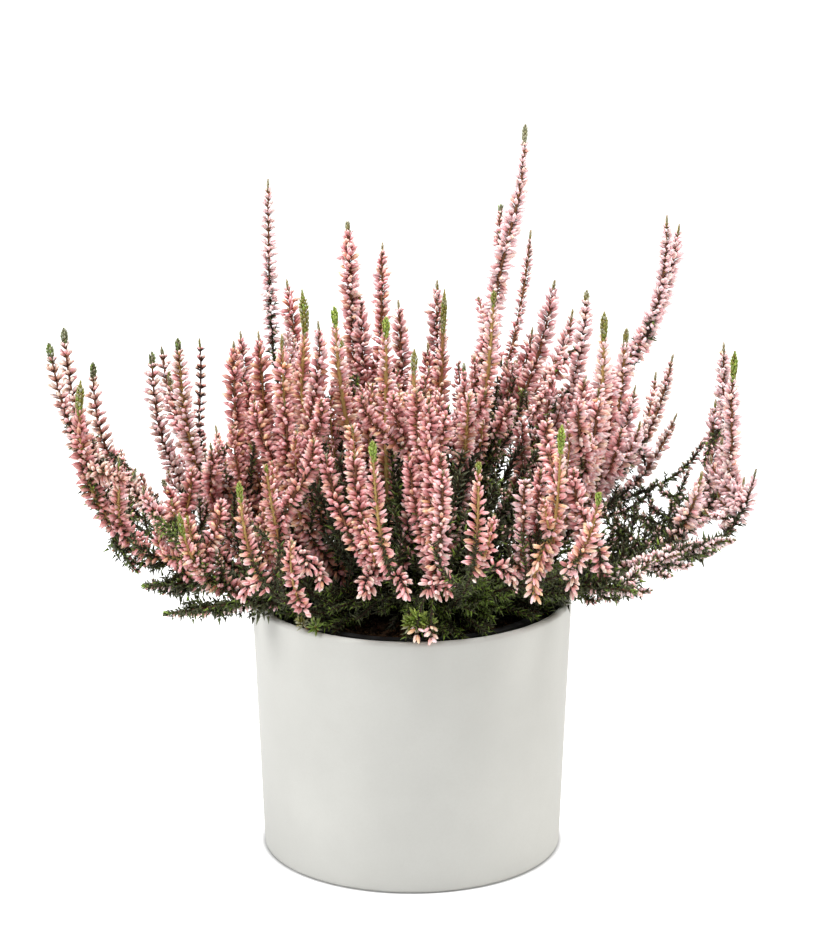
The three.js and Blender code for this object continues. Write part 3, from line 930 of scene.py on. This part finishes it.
def whorled(reach, ranks, first, rng, scatter):
    """Distances along a path and angles round it, for whorls that stand at two distances
    or more and have the given number of ranks."""
    gap = reach[1] - reach[0]
    turn = np.pi / ranks
    angle = math.radians(first) + (np.arange(len(reach)) % 2)[:, None] * turn
    angle = angle + 2 * np.pi * np.arange(ranks)[None] / ranks
    angle = angle + rng.normal(0, math.radians(scatter), angle.shape)
    reach = reach[:, None] + rng.normal(0, 0.13 * gap, angle.shape)
    return reach.ravel(), angle.ravel()


def splayed(path, reach, angle, lean, droop=0.0):
    """What grows at distances along a path and angles round it: its places, the path's
    frames, the way out and its direction, which leans (in degrees) from the stem."""
    places, frames = path.place(reach)
    out = frames[:, :, 0] * np.cos(angle)[:, None] + frames[:, :, 1] * np.sin(angle)[:, None]
    lean = np.radians(lean)[:, None]
    directions = frames[:, :, 2] * np.cos(lean) + out * np.sin(lean)
    directions = unit(directions - UP * np.reshape(droop, (-1, 1)))
    return places, frames, out, directions


def about(value, spread, count, rng):
    """Numbers near a value, held between 0 and 1."""
    return np.clip(value + rng.normal(0, spread, count), 0, 1)


def add_leaves(
    builder, path, start, stop, tone, rng, gap=LEAF_GAP, length=LEAF_LENGTH, ranks=3, broad=0.3
):
    """Whorls of scale leaves on a stem, each turned from the last."""
    if stop - start < 2 * gap:
        return
    reach, angle = whorled(np.arange(start, stop, gap), ranks, rng.uniform(0, 90), rng, 14)
    count = len(reach)
    places, frames, out, directions = splayed(path, reach, angle, rng.normal(*LEAF_LEAN, count), 0.08)
    size = length * rng.uniform(0.7, 1.15, count)
    half = broad * size ** 0.5
    builder.add_copies(
        SPINE, places + out * SETBACK, facing(directions, frames), (half, 0.7 * half, size),
        LEAF_SLOT, rng.uniform(0, 1, count), about(tone, 0.07, count, rng),
    )


def add_branchlets(builder, path, start, stop, gap, full, tone, rng):
    """Short leafy side shoots along a stem, which thicken it to a feather."""
    if gap == 0 or stop - start < 2 * gap:
        return
    reach, angle = whorled(np.arange(start, stop, gap), 2, rng.uniform(0, 90), rng, 25)
    count = len(reach)
    lean = rng.normal(*BRANCHLET_LEAN, count)
    places, frames, _, directions = splayed(path, reach, angle, lean, 0.05)
    size = full * blend(0.35, 1.0, smooth(stop - reach, 0, 14)) * rng.uniform(0.4, 1.15, count)
    around = facing(directions, frames)
    builder.add_copies(SPINE, places, around, (0.05 * size, 0.05 * size, size), STEM_SLOT, 0.5, 0.06)
    for leaf in range(BRANCHLET_LEAVES):
        turn = leaf * BRANCHLET_TURN
        aside = around[:, :, 0] * math.cos(turn) + around[:, :, 1] * math.sin(turn)
        foot = places + directions * (size * 0.95 * (leaf + 1) / BRANCHLET_LEAVES)[:, None]
        length = rng.uniform(0.4, 0.62, count) * (1.5 + 0.9 * size)
        builder.add_copies(
            SPINE, foot, facing(0.8 * directions + 0.65 * aside, around),
            (0.24 * length, 0.18 * length, length), LEAF_SLOT,
            rng.uniform(0, 1, count), about(tone, 0.06, count, rng),
        )


def add_tip(builder, path, length, girth, tone, rng):
    """The green end of a shoot: overlapping scale leaves that close to a point."""
    top = path.length
    slim = girth < 0.6
    whorls = np.arange(top - max(length, 3.0), top - 0.5, 1.0 if slim else 0.8)
    reach, angle = whorled(whorls, 4, rng.uniform(0, 90), rng, 6)
    count = len(reach)
    share = np.clip((top - reach) / length, 0, 1)
    full = smooth(share, 0, 0.45) * (1 - 0.3 * smooth(share, 0.6, 1))
    lean = 8 + (5 + 12 * girth) * full + rng.normal(0, 3, count)
    places, frames, out, directions = splayed(path, reach, angle, lean)
    size = blend(1.3, 2.4, full) * (0.75 + 0.25 * girth) * rng.uniform(0.85, 1.1, count)
    half = 0.26 + 0.36 * girth * full
    builder.add_copies(
        SPINE if slim else LEAF, places + out * (0.12 + 0.6 * girth * full)[:, None],
        facing(directions, frames), (half, half * 0.7, size), LEAF_SLOT,
        rng.uniform(0.3, 1, count), about(tone, 0.07, count, rng),
    )


def add_buds(builder, path, start, look, rng):
    """The flowering part of a shoot, with a bract under each bud. Its buds thin out
    below it."""
    stop = path.length - look.tip + 0.8
    whorls = [stop]
    while whorls[-1] > start - look.fade:
        share = smooth(stop - whorls[-1], 12, 50)
        whorls.append(whorls[-1] - blend(look.gap, look.low_gap, share))
    reach, angle = whorled(np.array(whorls[::-1]), look.ranks, RANKS_START, rng, 18 * look.scatter)
    angle = angle + look.flat * np.sin(2 * angle)
    thinning = smooth(start - reach, -0.2 * look.fade, look.fade)
    kept = (rng.uniform(size=len(reach)) > thinning) & (reach > 3)
    reach, angle = reach[kept], angle[kept]
    count = len(reach)
    below_tip = np.maximum(stop - reach, 0)
    ripe = smooth(below_tip, -4, look.ripening)
    lowness = smooth(below_tip, 0.45 * look.flowering, look.flowering)
    lean = blend(look.top_lean, look.lean, smooth(below_tip, 0, 1.6 * look.ripening))
    lean = lean + (look.hang - look.lean) * lowness + rng.normal(0, 11 * look.scatter, count)
    droop = look.droop * (smooth(below_tip, 25, 70) if look.droop < 1 else np.ones(count))
    places, frames, out, directions = splayed(path, reach, angle, lean, droop)
    length = look.bud * blend(0.45, 1.0, ripe) * rng.uniform(0.8, 1.15, count)
    width = look.width * blend(0.55, 1.0, ripe) * rng.uniform(0.85, 1.12, count)
    foot = places + out * SETBACK + directions * blend(0.1, 0.4, ripe)[:, None]
    # Painted light: buds on the right of the bush and high up are made paler.
    tint = look.tint + PAINTED_LIGHT * smooth(places[:, 0], *PAINTED_LIGHT_BETWEEN)
    tint = tint + PAINTED_LIGHT_HIGH * smooth(places[:, 2], *PAINTED_LIGHT_ABOVE)
    builder.add_copies(
        look.template, foot, facing(directions, frames), (width, width, length), PETAL_SLOT,
        about(tint, 0.25, count, rng), about(look.tone, 0.24, count, rng),
    )
    if not look.bract:
        return
    lean = np.clip(lean + 6, 10, 120)
    places, frames, out, directions = splayed(path, reach - 0.6, angle, lean, droop)
    size = look.bract * blend(0.75, 1.0, ripe) * rng.uniform(0.85, 1.15, count)
    builder.add_copies(
        SPINE, places + out * SETBACK, facing(directions, frames),
        (0.28 + 0.2 * size, 0.2 + 0.1 * size, size), STEM_SLOT,
        0.5, about(look.stem_tone - 0.1, 0.12, count, rng),
    )


def add_spike(builder, path, look, rng, sides=6, step=3):
    """A shoot by itself: stem, leaves on its lower part, buds and green tip."""
    low = path.length * LEAFY_FROM
    start = max(path.length - look.flowering, low)
    high = blend(start, path.length - look.tip, look.leafy)
    dark = start / path.length
    tube(builder, path, (look.stem, STEM_END), look.stem_tone, sides, step, dark)
    add_leaves(builder, path, low, high, look.leaf_tone, rng)
    add_branchlets(builder, path, low, high, look.branchlets, look.branchlet, look.leaf_tone, rng)
    add_buds(builder, path, start, look, rng)
    add_tip(builder, path, look.tip, look.girth, look.tip_tone, rng)


def side_path(parent, tip, look):
    """A path to a tip from the nearest place on a stem that leaves room for its spike."""
    tip = np.asarray(tip, float)
    low, high = (int(share * len(parent.points)) for share in SIDE_BETWEEN)
    span = np.linalg.norm(tip - parent.points, axis=1)
    span[span < max(1.1 * look.flowering, look.room)] = np.inf
    start = low + int(np.argmin(span[low:high]))
    heading = unit(parent.along[start] + 0.8 * unit(tip - parent.points[start]))
    outward = unit(np.array([tip[0], tip[1], 0.0]))
    if look.hangs:
        return bent(parent.points[start], heading + 0.6 * UP, tip, 0.35 * outward - UP)
    return bent(parent.points[start], heading, tip, look.rise * UP + (1.12 - look.rise) * outward)


def full_height(place):
    """How high the bush is full over a place."""
    share = smooth(math.hypot(place[0], place[1]), *FULL_BETWEEN)
    return blend(*FULL_HEIGHT, share)


def seeded_path(parent, rng, length, between, spread):
    """A path that leaves a stem at a seeded place and bends up, mostly to the inside."""
    places, frames = parent.place(np.array([parent.length * rng.uniform(*between)]))
    start = places[0]
    angle = rng.uniform(0, 2 * np.pi)
    out = frames[0, :, 0] * math.cos(angle) + frames[0, :, 1] * math.sin(angle)
    outward = unit(np.array([start[0], start[1], 0.0]))
    if out.dot(outward) > 0.2 or out[2] < -0.3:
        out = -out
    ahead = frames[0, :, 2]
    tip = start + unit(0.55 * ahead + 0.75 * UP + spread * out) * length
    over = tip[2] - full_height(tip)
    if over > 0:
        tip[2] -= min(over, 0.6 * length)
    return bent(start, ahead + 0.9 * out, tip, UP + 0.25 * out)


def add_fill(builder, parent, look, rng):
    """The seeded side spikes and leafy twigs of a shoot."""
    shared = dict(tone=look.tone, tint=look.tint, stem_tone=look.stem_tone)
    lengths, *route = SEEDED_SPIKES
    for _ in range(look.spikes):
        length = rng.uniform(*lengths)
        path = seeded_path(parent, rng, length, *route)
        side = Look(**SEEDED, **shared, flowering=0.75 * length)
        add_spike(builder, path, side, rng, sides=4, step=6)
    lengths, *route = SEEDED_TWIGS
    for _ in range(look.twigs):
        path = seeded_path(parent, rng, rng.uniform(*lengths), *route)
        tube(builder, path, TWIG_STEM, 0.1, sides=4, step=6)
        add_leaves(builder, path, 1, path.length, look.leaf_tone, rng, *TWIG_LEAVES)


def swayed(path, sway):
    """A path whose middle bows to the right."""
    share = path.reach / path.length
    bow = sway * smooth(share, 0.15, 0.55) * smooth(1 - share, 0.08, 0.35)
    kept = np.linspace(0, len(bow) - 1, len(bow) // 4).astype(int)
    return Path((path.points + bow[:, None] * RIGHT)[kept])


def grow(name):
    """Builds the piece for one CAD shoot, with all that grows on it."""
    node = f"shoot_{name}"
    rng = seeded(node)
    look = Look(**LOOKS[name])
    path = cad_path(node)
    if look.trim:
        path = Path(path.points[path.reach < path.length - look.trim])
    if look.sway:
        path = swayed(path, look.sway)
    made = Builder()
    add_spike(made, path, look, rng)
    for flowering, changes, *tips in SIDE_SPIKES.get(name, ()):
        side = Look(**dict(changes, flowering=flowering, stem=SIDE_STEM))
        for tip in tips:
            add_spike(made, side_path(path, tip, side), side, rng, step=4)
    add_fill(made, path, look, rng)
    piece = made.build(f"flowering_{node}", SHOOT_MATERIALS)
    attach(piece, BODY)
    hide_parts(node)


for shoot_name in LOOKS:
    grow(shoot_name)

# ------------------------------------------------------------------ low foliage

PEAT_LEVEL = 109.0
LOW_TWIG_STEM = (0.6, 0.3)
ROSETTE_STEM = (0.5, 0.4)
# Two twigs at every fifth degree: the ranges of their end and rise, and their leaves.
RING_STEP = 5
RING_RANGES = (((40, 56), (4, 14)), ((52, 68), (12, 24)))
RING_LEAVES = (1.4, 3.5)
# Bearings, in degrees from the front, between which the growing pot and the bark show.
BARE_BEARINGS = ((333, 356), (32, 50))
# Patches of twigs: their number, the ranges of their bearing, start, end, rise and tone,
# and their leaves as a gap, a length and, if they aren't the usual ones, ranks and a
# breadth. Rim twigs stand at all bearings but the bare ones.
MOSS_PATCH = (36, ((14, 46), (14, 34), (46, 63), (10, 30), (0.22, 0.32)), (1.0, 3.8))
SHAGGY_PATCH = (34, ((54, 92), (28, 48), (60, 96), (8, 34), (0.08, 0.2)), (1.4, 4.0, 2, 0.36))
RIM_RANGES = ((34, 46), (62, 68), (4, 9), (0.08, 0.24))
RIM_LEAVES = (1.3, 3.5)
CORE_TWIGS = 140
CORE_RADIUS = 58
CORE_LEAVES = (1.7, 4.6, 2, 0.42)
ROSETTE_RANKS = 7
# The whorls of a rosette: height, angle to the stem and share of the leaf length.
ROSETTE_WHORLS = ((0.0, 74, 0.9), (0.7, 60, 1.0), (1.4, 46, 0.95), (2.1, 32, 0.85), (2.8, 18, 0.7))
# Each rosette: its place, heading, leaf length and tone.
ROSETTES = [
    ((3, -67, 125), (0.2, -0.6, 0.9), 6.5, 0.95),
    ((-1, -66, 123), (-0.5, -0.6, 0.8), 6.0, 0.85),
    ((7, -67, 123), (0.6, -0.7, 0.5), 5.5, 0.88),
    ((-41, -58, 119), (-0.2, -0.7, 0.8), 5.0, 0.36),
    ((-47, -54, 119), (-0.5, -0.6, 0.8), 4.5, 0.7),
]


def leafy_twig(builder, bearing, start, end, rise, tone, rng, gap, leaf, ranks=2, broad=0.3):
    """A leafy twig from the peat outward. Its bearing is in degrees from the front."""
    turn = math.radians(bearing)
    outward = np.array([math.sin(turn), -math.cos(turn), 0.0])
    foot = outward * start + UP * PEAT_LEVEL
    tip = outward * end + UP * (PEAT_LEVEL + rise)
    path = bent(foot, outward * 0.4 + UP, tip, outward + UP * (rise - 12) / 30)
    tube(builder, path, LOW_TWIG_STEM, DARK_TONE, sides=4, step=6)
    add_leaves(builder, path, 2, path.length, tone, rng, gap, leaf, ranks, broad)


def twig_patch(builder, rng, count, ranges, leaves):
    """Leafy twigs with a seeded bearing, start, end, rise and tone, each in its range."""
    for _ in range(count):
        leafy_twig(builder, *(rng.uniform(*bounds) for bounds in ranges), rng, *leaves)


def rosette(builder, place, heading, size, tone, rng):
    """The end of a young shoot: whorls of leaves that spread from one point."""
    path = bent(np.array(place) - 8 * unit(np.array(heading)), heading, place, heading)
    top = ROSETTE_WHORLS[-1][0]
    for level, lean, share in ROSETTE_WHORLS:
        reach = np.full(ROSETTE_RANKS, path.length - top + level)
        angle = 2 * np.pi * (np.arange(ROSETTE_RANKS) + level) / ROSETTE_RANKS
        angle = angle + rng.normal(0, 0.15, ROSETTE_RANKS)
        places, frames, _, directions = splayed(
            path, reach, angle, rng.normal(lean, 8, ROSETTE_RANKS)
        )
        length = size * share * rng.uniform(0.7, 1.1, ROSETTE_RANKS)
        tones = about(tone - 0.05 * (3 - level), 0.06, ROSETTE_RANKS, rng)
        builder.add_copies(
            LEAF, places, facing(directions, frames), (0.14 * length, 0.08 * length, length),
            LEAF_SLOT, 0.8, tones,
        )
    tube(builder, path, ROSETTE_STEM, 0.8, sides=4)


def low_foliage():
    """The leafy twigs round the foot of the bush, which hide the pots' inside."""
    rng = seeded("low_foliage")
    made = Builder()
    for bearing in range(0, 360, RING_STEP):
        ends = [[rng.uniform(*bounds) for bounds in ranges] for ranges in RING_RANGES]
        for end, rise in ends:
            leafy_twig(
                made, bearing + rng.uniform(-4, 4), rng.uniform(12, 32), end, rise,
                rng.uniform(0.05, 0.2), rng, *RING_LEAVES,
            )
        if not any(low < bearing < high for low, high in BARE_BEARINGS):
            twig_patch(made, rng, 2, ((bearing - 3, bearing + 3), *RIM_RANGES), RIM_LEAVES)
    twig_patch(made, rng, *MOSS_PATCH)
    twig_patch(made, rng, *SHAGGY_PATCH)
    for place, heading, size, tone in ROSETTES:
        rosette(made, place, heading, size, tone, rng)
    piece = made.build("low_foliage", SHOOT_MATERIALS)
    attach(piece, BODY)


def leafy_core():
    """The dark leafy twigs in the middle of the bush, between the flowering shoots."""
    rng = seeded("leafy_core")
    made = Builder()
    for _ in range(CORE_TWIGS):
        reach = CORE_RADIUS * math.sqrt(rng.uniform())
        leafy_twig(
            made, rng.uniform(0, 360), 0.35 * reach, reach,
            rng.uniform(44, 94) * (1 - 0.003 * reach), rng.uniform(0, 0.14), rng, *CORE_LEAVES,
        )
    piece = made.build("leafy_core", SHOOT_MATERIALS)
    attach(piece, BODY)


low_foliage()
leafy_core()

# ------------------------------------------------------------------ pots

POT_SIDES = 192
POT_WALL = 4.0
POT_FLOOR = 6.0
POT_EDGE = 1.6


def arc(radius, height, size, start, end, steps):
    """Outline points round (radius, height), between two angles in degrees."""
    angles = np.radians(np.linspace(start, end, steps + 1))
    return list(zip(radius + size * np.cos(angles), height + size * np.sin(angles)))


def node_outline(name):
    """A CAD node's corners as (distance from the axis, height)."""
    corners = np.array([v.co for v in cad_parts[name].data.vertices]) / MM
    return np.hypot(corners[:, 0], corners[:, 1]), corners[:, 2]


def cover_pot():
    """The cover pot, to the CAD pot's rim, foot and height, with round edges."""
    out, up = node_outline("cover_pot")
    height = up.max()
    rim = out.max()
    foot = min(out[up < POT_EDGE / 2].max() + POT_EDGE, out[up < 2 * POT_EDGE].max())
    inner = foot + (rim - foot) / height * POT_FLOOR - POT_WALL
    lip = POT_WALL / 2
    side = [
        (blend(foot, rim, t), blend(POT_EDGE, height - lip, t)) for t in np.linspace(0.02, 0.98, 5)
    ]
    inside = [
        (blend(rim - POT_WALL, inner, t), blend(height - lip, POT_FLOOR + POT_EDGE, t))
        for t in np.linspace(0.02, 1, 5)
    ]
    outline = [
        (0, 0), (foot * 0.5, 0),
        *arc(foot - POT_EDGE, POT_EDGE, POT_EDGE, -90, 0, 8),
        *side,
        *arc(rim - lip, height - lip, lip, 0, 180, 14),
        *inside,
        (inner - POT_EDGE, POT_FLOOR), (0, POT_FLOOR),
    ]
    corners, faces, _ = turned(outline, POT_SIDES)
    made = Builder()
    made.add(corners, faces, 0)
    piece = made.build("cover_pot_finish", [CERAMIC])
    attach(piece, BODY)
    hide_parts("cover_pot")


def grow_pot():
    """The growing pot keeps its CAD shape and gets a material of its own."""
    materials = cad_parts["grow_pot"].data.materials
    materials.clear()
    materials.append(BLACK_PLASTIC)


cover_pot()
grow_pot()

# ------------------------------------------------------------------ soil

SOIL_SIDES = 110
SOIL_RINGS = 26
SOIL_LUMP = 1.1
SOIL_LUMP_SIZE = 7
# How far below its highest point the soil's top reaches at most, the smooth margin at its
# edge, and how far inside the edge the crumbs stay.
SOIL_MOUND = 8
SOIL_MARGIN = 2
CRUMB_MARGIN = 2.5
# Bark crumbs and peat grains: their number, their least and greatest length and their
# material, as a place in the piece's list.
CRUMBS = ((260, (2.5, 8), 1), (500, (0.8, 2.2), 0))
CROWN_STEPS = 14
CROWN_SIDES = 56
CROWN_LUMP_SIZE = 5
CROWN_DIP = 0.4


def lump(x, y, z, size):
    """Smooth noise in about -1 to 1, with features of the given size."""
    return noise.fractal(Vector((x, y, z)) / size, 0.8, 2.1, 4)


def soil_top(out, up):
    """The CAD peat's top, as distances from the axis and the heights there."""
    top = up > up.max() - SOIL_MOUND
    order = np.argsort(out[top])
    return out[top][order], up[top][order]


def chip(builder, place, size, rng, slot):
    """A flat-sided crumb: a box with its corners pushed about."""
    turn, tilt = rng.uniform(0, 6.3), rng.normal(0, 0.25, 2)
    tone = rng.uniform()
    corners = np.array([(x, y, z) for x in (-1, 1) for y in (-1, 1) for z in (-1, 1)], float)
    corners = corners * rng.uniform(0.55, 1.0, corners.shape) * np.asarray(size) / 2
    spin = np.array(Euler((*tilt, turn)).to_matrix())
    faces = [
        (0, 1, 3), (0, 3, 2), (4, 6, 7), (4, 7, 5), (0, 4, 5), (0, 5, 1),
        (2, 3, 7), (2, 7, 6), (0, 2, 6), (0, 6, 4), (1, 5, 7), (1, 7, 3),
    ]
    builder.add(corners @ spin.T + place, faces, slot, tone=tone, tint=rng.uniform())


def peat():
    """The crumbly top of the root ball, with bark crumbs and grains on it."""
    out, up = node_outline("peat")
    radii, heights = soil_top(out, up)
    edge = radii.max()
    low = up.min()
    rings = np.sqrt(np.linspace(0.001, 1, SOIL_RINGS)) * edge
    top = list(zip([0, *rings], np.interp([0, *rings], radii, heights)))
    corners, faces, _ = turned([*top, (out[up < low + 1].max(), low), (0, low)], SOIL_SIDES)
    lumpy = corners[1:1 + SOIL_RINGS * SOIL_SIDES]
    calm = 1 - smooth(np.hypot(lumpy[:, 0], lumpy[:, 1]), edge - SOIL_MARGIN, edge)
    lumpy[:, 2] += SOIL_LUMP * calm * [lump(x, y, 0, SOIL_LUMP_SIZE) for x, y, _ in lumpy]
    made = Builder()
    # The outline runs downwards, so its triangles are turned round to face out.
    made.add(corners, faces[:, ::-1], 0)
    rng = seeded("peat")
    for count, lengths, slot in CRUMBS:
        for _ in range(count):
            reach = (edge - CRUMB_MARGIN) * math.sqrt(rng.uniform(0.05, 1))
            angle = rng.uniform(0, 2 * np.pi)
            x, y = reach * math.cos(angle), reach * math.sin(angle)
            long = rng.uniform(*lengths)
            size = (long, long * rng.uniform(0.4, 0.8), long * rng.uniform(0.2, 0.45))
            level = np.interp(reach, radii, heights) + SOIL_LUMP * lump(x, y, 0, SOIL_LUMP_SIZE)
            chip(made, (x, y, level + 0.2 * size[2]), size, rng, slot)
    piece = made.build("peat_surface", [PEAT, BARK])
    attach(piece, BODY)
    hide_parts("peat")


def crown():
    """The gnarled rootstock: a lumpy dome, to the CAD dome's width and height."""
    out, up = node_outline("crown")
    radius, low, high = out.max(), up.min(), up.max()
    dome = arc(0, 0, 1, 0, 90 - 90 / CROWN_STEPS, CROWN_STEPS - 1)
    corners, faces, _ = turned([(0, 0), *dome, (0, 1)], CROWN_SIDES)
    swell = [0.93 + 0.12 * lump(*(corner * radius), CROWN_LUMP_SIZE) for corner in corners]
    corners = corners * np.reshape(swell, (-1, 1)) * (radius, radius, high - low) + (0, 0, low)
    corners[-1] = (0, 0, high - CROWN_DIP)
    made = Builder()
    made.add(corners, faces, 0)
    piece = made.build("crown_bark", [BARK])
    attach(piece, BODY)
    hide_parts("crown")


peat()
crown()

# ------------------------------------------------------------------ stage

# The stage's sizes are in metres. The floor glows more from one distance from the pot's
# axis to the next.
FLOOR_SIZE = 30.0
GLOW_BETWEEN = (0.0652, 0.0678)
GLOW = (0.1, 1.0)
WHITE = (1, 1, 1)
WORLD_STRENGTH = 0.13
# Each lamp: its place, what it points at, its width, its power and its colour.
LAMPS = {
    "key": ((-1.62, -0.56, 0.9), (0, 0, 0.15), 0.8, 18, WHITE),
    "overhead": ((-0.15, -0.05, 1.55), (0, 0, 0.2), 0.9, 27, WHITE),
    "right_fill": ((1.6, 0.1, 0.5), (0, 0, 0.1), 0.6, 6.5, (1, 0.94, 0.84)),
    "right_top": ((0.75, -0.15, 1.35), (0.05, 0, 0.2), 0.6, 11, WHITE),
}


def stage():
    """A white floor that is lit from below away from the pot, so that it stays white."""
    floor = Shader("studio_floor", Roughness=0.9, Specular_IOR_Level=0.1)
    grain = floor.noise(3.0, 2.0)
    floor.colour(floor.ramp(grain, [(0.0, "#bababa"), (1.0, "#c0c0c0")]))
    length = floor.nodes.new("ShaderNodeVectorMath")
    length.operation = "LENGTH"
    floor.links.new(floor.place, length.inputs[0])
    glow = floor.spread(length.outputs["Value"], *GLOW_BETWEEN, *GLOW)
    floor.end.inputs["Emission Color"].default_value = (*WHITE, 1)
    floor.links.new(glow, floor.end.inputs["Emission Strength"])
    mesh = bpy.data.meshes.new("floor")
    half = FLOOR_SIZE / 2
    mesh.from_pydata(
        [(-half, -half, 0), (half, -half, 0), (half, half, 0), (-half, half, 0)], [], [(0, 1, 2, 3)]
    )
    mesh.materials.append(floor.material)
    plane = bpy.data.objects.new("floor", mesh)
    bpy.context.scene.collection.objects.link(plane)


def area_light(name, place, target, size, power, colour):
    data = bpy.data.lights.new(name, "AREA")
    data.shape = "DISK"
    data.size = size
    data.energy = power
    data.color = colour
    lamp = bpy.data.objects.new(name, data)
    lamp.location = place
    lamp.rotation_euler = (Vector(target) - Vector(place)).to_track_quat("-Z", "Y").to_euler()
    bpy.context.scene.collection.objects.link(lamp)


def light():
    world = bpy.data.worlds.new("studio")
    world.use_nodes = True
    background = world.node_tree.nodes["Background"]
    background.inputs["Color"].default_value = (*WHITE, 1)
    background.inputs["Strength"].default_value = WORLD_STRENGTH
    bpy.context.scene.world = world
    for name, lamp in LAMPS.items():
        area_light(name, *lamp)
    view = bpy.context.scene.view_settings
    view.view_transform = "Standard"
    view.look = "None"
    view.exposure = 0.0
    view.gamma = 1.0


stage()
light()
